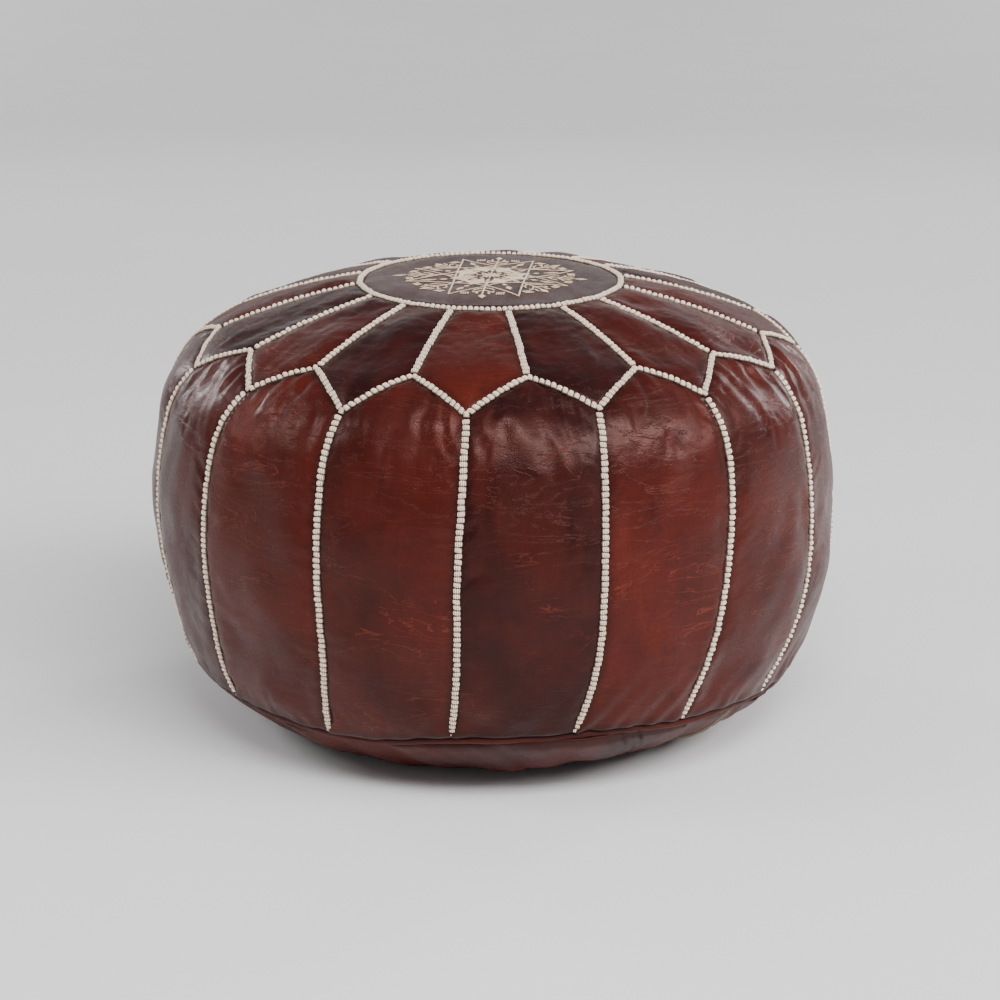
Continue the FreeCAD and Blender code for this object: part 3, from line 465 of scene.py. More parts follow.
def stuffed(grids):
    """Each grid's points after cloth simulation with its seams held and the filling pressing from inside."""
    starts, points, faces, held, loose = [], [], [], [], []
    for grid in grids:
        first = sum(len(part) for part in points)
        starts.append(first)
        rows, columns = grid["points"].shape[:2]
        points.append(grid["points"].reshape(-1, 3))
        faces += grid_faces(rows, columns, first)
        edge = np.zeros((rows, columns), bool)
        edge[0], edge[-1], edge[:, 0], edge[:, -1] = True, True, True, True
        held += list(np.flatnonzero(edge) + first)
        loose.append(grid["slack"].reshape(-1))
    cover = new_object("stuffing_run", np.vstack(points), faces)
    pins = cover.vertex_groups.new(name="seams")
    pins.add([int(v) for v in held], 1.0, "REPLACE")
    growth = cover.vertex_groups.new(name="growth")
    for vertex, weight in enumerate(np.concatenate(loose)):
        growth.add([vertex], float(weight), "REPLACE")
    cloth = cover.modifiers.new("Cloth", "CLOTH")
    settings = cloth.settings
    settings.quality = 7
    settings.mass = 0.15
    settings.tension_stiffness = 60
    settings.compression_stiffness = 60
    settings.shear_stiffness = 30
    settings.bending_stiffness = 2.0
    settings.use_pressure = True
    settings.uniform_pressure_force = CLOTH_PRESSURE
    settings.vertex_group_mass = "seams"
    settings.vertex_group_shrink = "growth"
    settings.shrink_min = CLOTH_GROWTH
    settings.shrink_max = FOLD_GROWTH
    settings.effector_weights.gravity = 0
    cloth.collision_settings.use_collision = False
    cloth.point_cache.frame_start = 1
    cloth.point_cache.frame_end = CLOTH_FRAMES
    scene = bpy.context.scene
    for number in range(1, CLOTH_FRAMES + 1):
        scene.frame_set(number)
    evaluated = cover.evaluated_get(bpy.context.evaluated_depsgraph_get())
    moved = np.zeros(len(cover.data.vertices) * 3)
    evaluated.data.vertices.foreach_get("co", moved)
    moved = moved.reshape(-1, 3)
    scene.frame_set(1)
    bpy.data.objects.remove(cover)
    results = []
    for grid, first in zip(grids, starts):
        rest = grid["points"].reshape(-1, 3)
        results.append((moved[first:first + len(rest)] - rest).reshape(grid["points"].shape))
    return results


def soft_cap(values, low, high):
    """Values that bend towards low and high instead of passing them."""
    return np.where(values > 0, high * np.tanh(values / high), low * np.tanh(values / low))


def make_grids():
    """All panels of the cover: their places on the skin, and the points of the stuffed leather."""
    grids = []
    for kind, layout in (("side", side_grid), ("top", top_grid)):
        for index in range(PANELS):
            name = f"{kind}_panel_{index + 1:02d}"
            grids.append({"name": name, "kind": kind, "places": layout(index), "seam": index})
    disc = medallion_grid(MEDALLION_CELLS)
    grids.append({"name": "medallion", "kind": "medallion", "places": disc, "seam": 0})
    for grid in grids:
        places = grid["places"]
        grid["points"] = spot(places[..., 0], places[..., 1])
        grid["normals"] = outward(places[..., 0], places[..., 1])
        grid["edge"] = edge_distance(grid["points"])
        if grid["kind"] == "side":
            below = (places[-1, :, 1][None] - places[..., 1])
            grid["slack"] = np.clip(1 - below / 0.055, 0, 1) * 0.9
        else:
            grid["slack"] = np.zeros(places.shape[:2]) + (0.04 if grid["kind"] == "top" else 0.0)
    for grid, shift in zip(grids, stuffed(grids)):
        rise = np.einsum("ijk,ijk->ij", shift, grid["normals"])
        slide = shift - rise[..., None] * grid["normals"]
        length = np.linalg.norm(slide, axis=-1, keepdims=True) + 1e-9
        slide *= np.tanh(length / SLIDE_LIMIT) * SLIDE_LIMIT / length
        grid["shift"] = halved(slide)
        grid["rise"] = halved(soft_cap(rise, SINK_LIMIT, SWELL_LIMIT))
    for grid in grids:
        on_disc = grid["kind"] == "medallion"
        places = grid["places"] = medallion_grid(2 * MEDALLION_CELLS) if on_disc else halved(grid["places"])
        grid["points"] = spot(places[..., 0], places[..., 1])
        grid["normals"] = outward(places[..., 0], places[..., 1])
        grid["edge"] = halved(grid["edge"])
    return grids


# ---------------------------------------------------------------- materials
class Nodes:
    """Short way to write a material's nodes."""

    def __init__(self, name):
        self.material = bpy.data.materials.new(name)
        self.material.use_nodes = True
        self.tree = self.material.node_tree
        self.tree.nodes.clear()
        self.output = self.tree.nodes.new("ShaderNodeOutputMaterial")
        self.shader = self.tree.nodes.new("ShaderNodeBsdfPrincipled")
        self.link(self.shader.outputs[0], self.output.inputs[0])

    def link(self, source, target):
        self.tree.links.new(source, target)

    def node(self, kind, inputs=None, **settings):
        made = self.tree.nodes.new("ShaderNode" + kind)
        for key, value in settings.items():
            setattr(made, key, value)
        for key, value in (inputs or {}).items():
            self.feed(made.inputs[key], value)
        return made

    def feed(self, socket, value):
        if isinstance(value, bpy.types.NodeSocket):
            self.link(value, socket)
        else:
            socket.default_value = value

    def attribute(self, name, output="Fac"):
        return self.node("Attribute", attribute_name=name).outputs[output]

    def scaled(self, vector, scale):
        return self.node("Mapping", {"Vector": vector, "Scale": scale}).outputs[0]

    def noise(self, vector, scale, detail=3.0, roughness=0.55, distortion=0.0):
        values = {"Vector": vector, "Scale": scale, "Detail": detail}
        values.update({"Roughness": roughness, "Distortion": distortion})
        return self.node("TexNoise", values).outputs["Fac"]

    def cells(self, vector, scale, feature="F1"):
        made = self.node("TexVoronoi", {"Vector": vector, "Scale": scale}, feature=feature)
        return made.outputs["Distance"]

    def ramp(self, value, low, high, start=0.0, end=1.0):
        """Value mapped from low..high to start..end with an S curve, and held outside it."""
        values = {"Value": value, "From Min": low, "From Max": high, "To Min": start, "To Max": end}
        return self.node("MapRange", values, interpolation_type="SMOOTHSTEP").outputs[0]

    def sum(self, first, second, operation="ADD"):
        return self.node("Math", {0: first, 1: second}, operation=operation).outputs[0]

    def mix(self, share, first, second, blend="MIX"):
        made = self.node("Mix", data_type="RGBA", blend_type=blend)
        self.feed(made.inputs[0], share)
        self.feed(made.inputs[6], first)
        self.feed(made.inputs[7], second)
        return made.outputs[2]

    def bump(self, height, distance, strength=1.0, normal=None):
        values = {"Height": height, "Distance": distance, "Strength": strength}
        if normal is not None:
            values["Normal"] = normal
        return self.node("Bump", values).outputs[0]


def srgb(text):
    """Linear colour of a hex code."""
    parts = [int(text[at:at + 2], 16) / 255 for at in (0, 2, 4)]
    return (*[part / 12.92 if part <= 0.04045 else ((part + 0.055) / 1.055) ** 2.4 for part in parts], 1.0)


LEATHER_DARK = srgb("210708")
LEATHER_WARM = srgb("47140e")
LEATHER_RED = srgb("5f1e12")
# Darkest tone: dark spots in the dye, and painted shade along the seams.
LEATHER_SPOT_AND_SEAM_SHADE = srgb("160606")
LEATHER_CRAZE = srgb("8f402d")
PLUM_DARK = srgb("210e0f")
PLUM_WARM = srgb("3b1e1e")
PLUM_CRAZE = srgb("553535")


def leather_material(name, plum=False, roughness=0.35):
    """Hand-dyed, waxed goatskin: cloudy dye, dark spots, red craze lines, pores and fine creases, and darker
    along its edges, partly from dye gathered at the seams and partly as painted shade where the braid, the
    welt or the hem overhangs it.
    """
    n = Nodes(name)
    hide = n.attribute("hide", "Vector")
    tone = n.attribute("tone")
    edge = n.attribute("edge")
    clouds = n.noise(hide, 9.0, 4.0, 0.6, 0.4)
    patches = n.noise(n.scaled(hide, (1.0, 0.45, 1.0)), 26.0, 5.0, 0.65, 0.8)
    streaks = n.noise(n.scaled(hide, (1.0, 0.1, 1.0)), 95.0, 3.0, 0.6)
    cloudy = n.sum(n.sum(n.ramp(clouds, 0.3, 0.7, -0.24, 0.24), n.ramp(patches, 0.3, 0.7, -0.09, 0.09)), tone)
    cloudy = n.sum(cloudy, n.ramp(streaks, 0.3, 0.7, -0.03, 0.03))
    dark, warm = (PLUM_DARK, PLUM_WARM) if plum else (LEATHER_DARK, LEATHER_WARM)
    colour = n.mix(n.ramp(cloudy, 0.0, 0.75), dark, warm)
    if not plum:
        colour = n.mix(n.ramp(cloudy, 0.65, 1.15), colour, LEATHER_RED)
    spots = n.noise(hide, 42.0, 2.0, 0.5, 0.3)
    colour = n.mix(n.ramp(spots, 0.64, 0.80, 0.0, 0.55), colour, LEATHER_SPOT_AND_SEAM_SHADE)
    freckles = n.noise(hide, 420.0, 2.0, 0.6)
    colour = n.mix(n.ramp(freckles, 0.35, 0.7, 0.0, 0.25), colour, dark)
    craze_field = n.noise(n.scaled(hide, (0.35, 1.5, 1.0)), 42.0, 6.0, 0.62, 1.0)
    craze = n.ramp(n.sum(n.sum(craze_field, 0.5, "SUBTRACT"), 0.0, "ABSOLUTE"), 0.0, 0.012, 1.0, 0.0)
    craze_share = n.sum(craze, n.ramp(n.noise(hide, 13.0, 2.0), 0.5, 0.68), "MULTIPLY")
    colour = n.mix(n.sum(craze_share, 0.42, "MULTIPLY"), colour, PLUM_CRAZE if plum else LEATHER_CRAZE)
    # Darker towards the edges: partly dye gathered at the seams, partly painted shade where the braid, the
    # welt or the hem overhangs the leather.
    colour = n.mix(n.ramp(edge, 0.001, 0.010, 0.6, 0.0), colour, LEATHER_SPOT_AND_SEAM_SHADE)
    n.feed(n.shader.inputs["Base Color"], colour)
    waxed = n.ramp(patches, 0.3, 0.7, roughness - 0.06, roughness + 0.08)
    n.feed(n.shader.inputs["Roughness"], n.sum(waxed, n.ramp(freckles, 0.3, 0.7, -0.03, 0.04)))
    n.shader.inputs["Specular IOR Level"].default_value = 0.30
    n.shader.inputs["Specular Tint"].default_value = (1.0, 0.60, 0.54, 1.0)
    pores = n.cells(hide, 750.0)
    grain = n.noise(hide, 1500.0, 2.0, 0.6)
    crease_field = n.noise(n.scaled(hide, (0.6, 1.3, 1.0)), 55.0, 4.0, 0.6, 1.2)
    creases = n.ramp(n.sum(n.sum(crease_field, 0.5, "SUBTRACT"), 0.0, "ABSOLUTE"), 0.0, 0.035)
    normal = n.bump(creases, 0.0006, 0.11)
    normal = n.bump(craze, -0.0005, 0.3, normal)
    normal = n.bump(pores, 0.00035, 0.2, normal)
    normal = n.bump(grain, 0.00025, 0.18, normal)
    n.feed(n.shader.inputs["Normal"], normal)
    return n.material


def thread_material(name, colour, shade, fibres):
    """Twisted cotton thread: fine fibres along each strand, and painted shade in the grooves between strands
    and where they dive into the leather.
    """
    n = Nodes(name)
    lay = n.attribute("lay", "Vector")
    root = n.attribute("root")
    fibre = n.noise(n.scaled(lay, (1.0, 0.12, 1.0)), fibres, 3.0, 0.6)
    body = n.noise(lay, 120.0, 2.0)
    mixed = n.mix(n.ramp(fibre, 0.35, 0.75, 0.0, 0.6), colour, shade)
    mixed = n.mix(n.ramp(body, 0.35, 0.8, 0.0, 0.2), mixed, shade)
    # Painted shade: darker in the grooves between strands and low down, where the thread meets the leather.
    mixed = n.mix(n.ramp(root, 0.12, 0.9, 0.0, 0.92), mixed, srgb("4c2719"))
    n.feed(n.shader.inputs["Base Color"], mixed)
    n.feed(n.shader.inputs["Roughness"], n.ramp(fibre, 0.2, 0.8, 0.62, 0.85))
    n.shader.inputs["Sheen Weight"].default_value = 0.25
    n.shader.inputs["Sheen Roughness"].default_value = 0.5
    n.feed(n.shader.inputs["Normal"], n.bump(fibre, 0.0003, 0.7))
    return n.material


def tape_material():
    """Woven polyester zip tape: herringbone of warp and weft, khaki, darker along its two edges."""
    n = Nodes("zip_tape_weave")
    hide = n.attribute("hide", "Vector")
    edge = n.attribute("edge")
    threads = {"Vector": hide, "Scale": 190.0, "Distortion": 0.6}
    warp = n.node("TexWave", threads, bands_direction="Y").outputs["Fac"]
    slanted = n.node("Mapping", {"Vector": hide, "Rotation": (0.0, 0.0, 0.9)}).outputs[0]
    weft = n.node("TexWave", {"Vector": slanted, "Scale": 160.0, "Distortion": 0.8}).outputs["Fac"]
    weave = n.sum(warp, weft, "MULTIPLY")
    wear = n.noise(hide, 60.0, 4.0)
    colour = n.mix(n.ramp(weave, 0.0, 0.8), srgb("4f4330"), srgb("938468"))
    colour = n.mix(n.ramp(wear, 0.4, 0.7, 0.0, 0.35), colour, srgb("5e5140"))
    # Darker along both edges of the tape, next to the coil and at its outer edge.
    colour = n.mix(n.ramp(edge, 0.0, 0.0012, 0.5, 0.0), colour, srgb("4a3c2c"))
    n.feed(n.shader.inputs["Base Color"], colour)
    n.feed(n.shader.inputs["Roughness"], n.ramp(weave, 0.0, 1.0, 0.75, 0.9))
    n.feed(n.shader.inputs["Normal"], n.bump(weave, 0.0002, 0.8))
    return n.material


def coil_material():
    """Nylon zip coil: two tones and roughness mixed by noise, with a fine bump."""
    n = Nodes("zip_coil_nylon")
    place = n.node("TexCoord").outputs["Object"]
    tint = n.noise(place, 300.0, 3.0)
    n.feed(n.shader.inputs["Base Color"], n.mix(n.ramp(tint, 0.3, 0.7), srgb("6b5b43"), srgb("8c7a5c")))
    n.feed(n.shader.inputs["Roughness"], n.ramp(tint, 0.3, 0.7, 0.3, 0.45))
    n.feed(n.shader.inputs["Normal"], n.bump(n.noise(place, 900.0), 0.00005, 0.5))
    return n.material


def brass_material():
    """Worn brass of the zip's slider and pull tab: tarnish in patches, fine scratches."""
    n = Nodes("zip_brass")
    place = n.node("TexCoord").outputs["Object"]
    tarnish = n.noise(place, 140.0, 5.0, 0.65)
    scratches = n.noise(n.scaled(place, (1.0, 9.0, 9.0)), 420.0, 3.0)
    colour = n.mix(n.ramp(tarnish, 0.38, 0.66), srgb("c9a35a"), srgb("7a5c33"))
    n.feed(n.shader.inputs["Base Color"], colour)
    n.shader.inputs["Metallic"].default_value = 1.0
    n.feed(n.shader.inputs["Roughness"], n.ramp(tarnish, 0.3, 0.7, 0.24, 0.5))
    n.feed(n.shader.inputs["Normal"], n.bump(scratches, 0.00004, 0.5))
    return n.material


def wadding_material():
    """Off-white cotton wadding: matted tufts."""
    n = Nodes("cotton_wadding")
    place = n.node("TexCoord").outputs["Object"]
    tufts = n.noise(place, 55.0, 7.0, 0.7, 1.5)
    n.feed(n.shader.inputs["Base Color"], n.mix(n.ramp(tufts, 0.3, 0.7), srgb("b7ab97"), srgb("e4dccb")))
    n.feed(n.shader.inputs["Roughness"], n.ramp(tufts, 0.3, 0.7, 0.85, 0.98))
    n.shader.inputs["Sheen Weight"].default_value = 0.4
    n.feed(n.shader.inputs["Normal"], n.bump(tufts, 0.004, 0.9))
    return n.material


# ---------------------------------------------------------------- leather panels
# How warm the dye of each panel came out, from 0, dark maroon, to 1, red-brown, by side seam index.
SIDE_TONE = {-4: 0.5, -3: 0.45, -2: 0.60, -1: 0.50, 0: 0.27, 1: 0.56, 2: 0.50, 3: 0.5, 4: 0.5}
TOP_TONE = {
    -5: 0.5, -4: 0.45, -3: 0.12, -2: 0.45, -1: 0.16, 0: 0.68,
    1: 0.12, 2: 0.55, 3: 0.5, 4: 0.6, 5: 0.35,
}
# The braid draws the leather's edges down.
TUCK = 0.0013
TUCK_REACH = 0.0042
# The tightly sewn disc hardly swells.
MEDALLION_RISE = 0.2
# The stuffed sides hang over the welt a little.
FOOT_OVERHANG = 0.0014
FOOT_REACH = 0.007


def panel_tone(kind, index):
    if kind == "medallion":
        return 0.5
    tones = SIDE_TONE if kind == "side" else TOP_TONE
    spread = np.random.default_rng(500 + index + (50 if kind == "top" else 0)).uniform(0.25, 0.75)
    return tones.get(wrap(index), float(spread))


def leather_relief(grid):
    """Folds and dents of a panel, in metres along the normal."""
    places = grid["places"]
    radius = np.interp(places[..., 1], EVEN, RADIUS)
    rows, columns = radius.shape
    across = (places[..., 0] - places[rows // 2, columns // 2, 0]) * radius
    if grid["kind"] == "medallion":
        flat = grid["points"][..., :2]
    else:
        flat = np.stack([across, places[..., 1]], -1)
    seed = 700 + grid["seam"] + {"side": 0, "top": 40, "medallion": 80}[grid["kind"]]
    free = smooth(grid["edge"], 0.0, 0.02)
    relief = 0.0013 * ripples(flat, 0.085, seed) * free
    relief += 0.00025 * ripples(flat, 0.034, seed + 1) * free
    if grid["kind"] == "side":
        relief += side_folds(grid, flat, seed)
    if grid["kind"] == "top":
        relief += 0.0003 * ripples(flat, 0.022, seed + 5, stretch=(1.0, 0.3)) * free
        relief += 0.00012 * ripples(flat, 0.009, seed + 6) * free
    if grid["kind"] == "medallion":
        relief *= 0.45
    return relief


# Strong folds where a side panel was gathered into its point: seam index of the panel, distance from
# its left seam as a share of its width, reach below the zigzag and depth in metres, and lean.
FOLDS = (
    (-1, 0.74, 0.060, 0.0016, -0.10),
    (-1, 0.84, 0.045, 0.0013, -0.04),
    (-1, 0.93, 0.052, 0.0012, 0.02),
    (-1, 0.30, 0.040, 0.0008, 0.12),
    (0, 0.16, 0.070, 0.0009, 0.30),
    (0, 0.34, 0.095, 0.0010, 0.45),
    (0, 0.62, 0.060, 0.0009, 0.25),
    (0, 0.80, 0.045, 0.0010, 0.10),
    (1, 0.22, 0.055, 0.0009, 0.16),
    (1, 0.46, 0.050, 0.0008, -0.06),
    (1, 0.86, 0.050, 0.0010, -0.14),
    (-2, 0.25, 0.055, 0.0009, 0.14),
    (-2, 0.62, 0.060, 0.0009, -0.20),
    (-2, 0.88, 0.045, 0.0010, -0.10),
    (2, 0.30, 0.060, 0.0010, 0.22),
    (2, 0.70, 0.045, 0.0009, -0.10),
)
FOLD_WIDTH = 0.0031


def folds_of(index):
    """Folds of a side panel: the known ones at the front, and a few of its own elsewhere."""
    known = [fold[1:] for fold in FOLDS if fold[0] == wrap(index)]
    if known:
        return known
    rng = np.random.default_rng(600 + index)
    low, high = (0.1, 0.035, 0.0006, -0.25), (0.9, 0.07, 0.0012, 0.25)
    return [tuple(rng.uniform(low, high)) for _ in range(4)]


def side_folds(grid, flat, seed):
    """Gathers under the zigzag, creases across the belly and puckers over the welt."""
    places = grid["places"]
    below = places[-1, :, 1][None] - places[..., 1]
    share = np.linspace(0, 1, places.shape[1])[None]
    width = flat[:, -1, 0] - flat[:, 0, 0]
    relief = np.zeros(below.shape)
    for start, reach, depth, lean in folds_of(grid["seam"]):
        wander = 0.0015 * ripples(below[..., None], 0.03, seed + int(1000 * start), 6)
        gap = (share - start) * width[:, None] - lean * below + wander
        length = np.exp(-(below / reach) ** 4) * smooth(below, 0.0, 0.008)
        spread = FOLD_WIDTH * (1 + below / 0.05)
        valley = np.exp(-(gap / spread) ** 2)
        ridges = 0.6 * np.exp(-((gap - 1.6 * spread) / spread) ** 2)
        ridges += 0.4 * np.exp(-((gap + 1.7 * spread) / spread) ** 2)
        relief += depth * length * (ridges - valley)
    fine = 1 - 2 * np.abs(ripples(flat @ np.array([[1.0], [0.2]]), 0.020, seed + 3, 10))
    relief += 0.00035 * np.exp(-(below / 0.04) ** 2) * np.clip(fine, -1.2, 1) * smooth(below, 0.0, 0.006)
    belly = np.abs(ripples(flat @ np.array([[0.25, 0.0], [0.0, 1.0]]), 0.020, seed + 6, 14))
    where = smooth(ripples(flat, 0.07, seed + 7), 0.0, 1.0)
    relief -= 0.00030 * np.exp(-(belly / 0.14) ** 2) * where * smooth(grid["edge"], 0.002, 0.012)
    up = places[..., 1] - places[0, :, 1][None]
    puckers = ripples(flat @ np.array([[1.0], [-0.7]]), 0.026, seed + 4, 10)
    return relief + 0.0007 * np.exp(-(up / 0.035) ** 2) * puckers


def finished_points(grid):
    """Points of a panel's outer face: puffed, folded, and drawn down under the braid at its edges."""
    rise = grid.get("rise", pillow(grid["edge"]) * 1.5)
    if grid["kind"] == "medallion":
        rise = rise * MEDALLION_RISE
    tuck = TUCK * np.exp(-(grid["edge"] / TUCK_REACH) ** 2)
    if grid["kind"] == "side":
        up = grid["places"][..., 1] - grid["places"][0, :, 1][None]
        foot = np.exp(-(up / FOOT_REACH) ** 2)
        tuck = tuck * (1 - foot) - FOOT_OVERHANG * foot
    lift = rise + leather_relief(grid) - tuck
    return grid["points"] + grid.get("shift", 0.0) + lift[..., None] * grid["normals"]


def set_attribute(mesh, name, kind, values):
    made = mesh.attributes.new(name, kind, "POINT")
    field = "vector" if kind == "FLOAT_VECTOR" else "value"
    made.data.foreach_set(field, np.asarray(values, np.float32).ravel())


def thicken(piece, thickness, offset=-1.0):
    solid = piece.modifiers.new("thickness", "SOLIDIFY")
    solid.thickness = thickness
    solid.offset = offset
    return solid


def round_off(piece, levels=1):
    finer = piece.modifiers.new("finer", "SUBSURF")
    finer.levels = finer.render_levels = levels
    finer.boundary_smooth = "PRESERVE_CORNERS"
    return finer


def build_panel(grid, material):
    points = finished_points(grid)
    rows, columns = points.shape[:2]
    piece = new_object(f"leather_{grid['name']}", points, grid_faces(rows, columns), material)
    places = grid["places"]
    if grid["kind"] == "medallion":
        middle = points.reshape(-1, 3).mean(0)
        x, y = points[..., 0] - middle[0], points[..., 1] - middle[1]
    else:
        radius = np.interp(places[..., 1], EVEN, RADIUS)
        x = (places[..., 0] - places[rows // 2, columns // 2, 0]) * radius
        y = places[..., 1] - places[0, columns // 2, 1]
    order = {"side": 0, "top": 20, "medallion": 40}[grid["kind"]] + grid["seam"]
    z = np.full_like(x, order * 0.37)
    set_attribute(piece.data, "hide", "FLOAT_VECTOR", np.stack([x, y, z], -1))
    # edge: distance from the panel's seams. The leather material darkens the leather near them, partly as dye
    # gathered there and partly as painted shade under the braid.
    set_attribute(piece.data, "edge", "FLOAT", grid["edge"])
    set_attribute(piece.data, "tone", "FLOAT", np.full(x.shape, panel_tone(grid["kind"], grid["seam"])))
    thicken(piece, SKIN * 0.8)
    settle_piece(piece, grid["name"])


# ---------------------------------------------------------------- braids
KNOT_WIDTH = 0.0056
KNOT_HEIGHT = 0.0029
KNOT_PITCH = 0.0045
FOOT_PITCH = 0.0038
FOOT_WIDTH = 0.0052
ZIGZAG_PITCH = 0.0046
ZIGZAG_WIDTH = 0.0049
RING_PITCH = 0.0042
RING_WIDTH = 0.0050
STRANDS = 4
COLUMNS_PER_STRAND = 5
KNOT_STATIONS = (-1.0, -0.9, -0.68, -0.35, 0.0, 0.35, 0.68, 0.9, 1.0)
KNOT_SINK = 0.0010


def knot_shape():
    """One knot of unit width and length: a bundle of strands, bulged, pinched in at both ends."""
    columns = STRANDS * COLUMNS_PER_STRAND + 1
    across = np.linspace(-1, 1, columns)
    u, w = np.meshgrid(across, KNOT_STATIONS)
    share = (u + 1) / 2 * STRANDS + 0.12 * w
    groove = np.abs(np.sin(math.pi * share))
    dome = np.sqrt(np.clip(1 - np.abs(u) ** 3.0, 0, 1))
    pinch = np.clip(1 - np.abs(w) ** 2.8, 0, 1) ** 0.6
    height = dome * (0.55 + 0.45 * groove) * pinch
    narrow = 1 - 0.26 * np.abs(w) ** 4
    # Painted shade: root is high in the grooves between strands and round the knot's low outline, and the
    # thread material darkens it there.
    root = np.clip(1.0 - dome * pinch * 1.3, 0, 1) + 0.9 * (1 - groove) ** 1.2
    return np.stack([u * narrow, w, height], -1), np.clip(root, 0, 1)


KNOT, KNOT_ROOT_SHADE = knot_shape()


def knot_faces(first):
    rows, columns = KNOT.shape[:2]
    faces = grid_faces(rows, columns, first)
    bottom = [first + column for column in range(columns)]
    right = [first + row * columns + columns - 1 for row in range(1, rows)]
    top = [first + (rows - 1) * columns + column for column in range(columns - 2, -1, -1)]
    left = [first + row * columns for row in range(rows - 2, 0, -1)]
    faces.append(tuple(reversed(bottom + right + top + left)))
    return faces


def braid(name, node, route, material, seed, pitches=(KNOT_PITCH, KNOT_PITCH),
          widths=(KNOT_WIDTH, KNOT_WIDTH), lean=0.0, lift=0.0):
    """Knots one after another along a route of places on the skin."""
    rng = np.random.default_rng(seed)
    azimuth, path = route[:, 0], route[:, 1]
    line = spot(azimuth, path)
    normals = outward(azimuth, path)
    gone = np.concatenate([[0.0], np.cumsum(np.linalg.norm(np.diff(line, axis=0), axis=1))])
    length = gone[-1]
    count = max(2, round(length / ((pitches[0] + pitches[1]) / 2)))
    ends = np.linspace(0, 1, count + 1)
    ramp = (pitches[1] - pitches[0]) / (pitches[1] + pitches[0])
    ends = length * (ends * (1 - ramp) + ramp * ends ** 2)
    points, roots, lays, faces = [], [], [], []
    for number in range(count):
        middle = (ends[number] + ends[number + 1]) / 2
        half = (ends[number + 1] - ends[number]) / 2
        centre = np.array([np.interp(middle, gone, line[:, axis]) for axis in range(3)])
        before = np.array([np.interp(middle - half, gone, line[:, axis]) for axis in range(3)])
        after = np.array([np.interp(middle + half, gone, line[:, axis]) for axis in range(3)])
        normal = np.array([np.interp(middle, gone, normals[:, axis]) for axis in range(3)])
        normal /= np.linalg.norm(normal)
        tangent = after - before
        tangent -= normal * (tangent @ normal)
        tangent /= np.linalg.norm(tangent)
        side = np.cross(tangent, normal)
        share = middle / length
        width = (widths[0] * (1 - share) + widths[1] * share) / 2 * rng.uniform(0.93, 1.06)
        skew = lean + rng.uniform(-0.16, 0.16)
        tilt = rng.uniform(-0.12, 0.12)
        height = KNOT_HEIGHT * rng.uniform(0.9, 1.12)
        centre = centre + side * rng.uniform(-0.0003, 0.0003) + normal * lift
        across = KNOT[..., 0] * width
        run = KNOT[..., 1] * half * 0.96 + across * skew
        up = KNOT[..., 2] * height * (1 + tilt * KNOT[..., 0]) - KNOT_SINK
        up += 0.00012 * np.sin(KNOT[..., 0] * 9 + rng.uniform(0, 6)) * KNOT[..., 2]
        knot = centre + across[..., None] * side + run[..., None] * tangent + up[..., None] * normal
        faces += knot_faces(sum(len(part) for part in points))
        points.append(knot.reshape(-1, 3))
        roots.append(KNOT_ROOT_SHADE.reshape(-1))
        lays.append(np.stack([across, run, np.full_like(run, rng.uniform(0, 9))], -1).reshape(-1, 3))
    piece = new_object(name, np.vstack(points), faces, material)
    # The root attribute carries the painted shade of the knots.
    set_attribute(piece.data, "root", "FLOAT", np.concatenate(roots))
    set_attribute(piece.data, "lay", "FLOAT_VECTOR", np.vstack(lays))
    settle_piece(piece, node)


JUNCTION_GAP = 0.0034


def trimmed(route, start, end):
    """Route without its first start and last end metres."""
    line = spot(route[:, 0], route[:, 1])
    gone = np.concatenate([[0.0], np.cumsum(np.linalg.norm(np.diff(line, axis=0), axis=1))])
    wanted = np.linspace(start, gone[-1] - end, len(route))
    return np.column_stack([np.interp(wanted, gone, route[:, 0]), np.interp(wanted, gone, route[:, 1])])


def zigzag_route():
    sides = []
    for index in range(PANELS):
        sides.append(zigzag_side(high_point(index), low_point(index), 14)[:-1])
        sides.append(zigzag_side(low_point(index), high_point(index + 1), 14)[:-1])
    route = np.vstack(sides)
    closing = route[:1] + np.array([[2 * math.pi, 0]])
    return np.vstack([route, closing])


def build_braids(material):
    for index in range(PANELS):
        route = trimmed(side_seam(index, 120), 0.0, JUNCTION_GAP)
        braid(f"side_seam_braid_{index + 1:02d}", "side_seam_braids", route, material, 900 + index,
              (FOOT_PITCH, KNOT_PITCH), (FOOT_WIDTH, KNOT_WIDTH))
    for index in range(PANELS):
        route = trimmed(radial_seam(index, 60), JUNCTION_GAP, JUNCTION_GAP)
        braid(f"radial_seam_braid_{index + 1:02d}", "radial_seam_braids", route, material, 930 + index)
    braid("zigzag_seam_braid", "zigzag_braid", zigzag_route(), material, 960,
          (ZIGZAG_PITCH, ZIGZAG_PITCH), (ZIGZAG_WIDTH, ZIGZAG_WIDTH), lean=0.22, lift=0.0002)
    ring = ring_place(np.linspace(0, 2 * math.pi, 400))
    ring[:, 0] = np.unwrap(ring[:, 0])
    braid("medallion_ring_braid", "medallion_braid", ring, material, 970,
          (RING_PITCH, RING_PITCH), (RING_WIDTH, RING_WIDTH), lift=0.0002)


# ---------------------------------------------------------------- embroidery
STITCH = 0.00062
STITCH_HEIGHT = 0.00075
TIP_ANGLE = math.pi / 8
TIP_RADIUS = 0.0680
ARROW_RADIUS = 0.0755
STAR_TURN = -0.10


def turned(angle, radius):
    """Point of the medallion's plan, angle from the star's front arrow towards the right."""
    angle += STAR_TURN
    return np.array([math.sin(angle) * radius, -math.cos(angle) * radius])


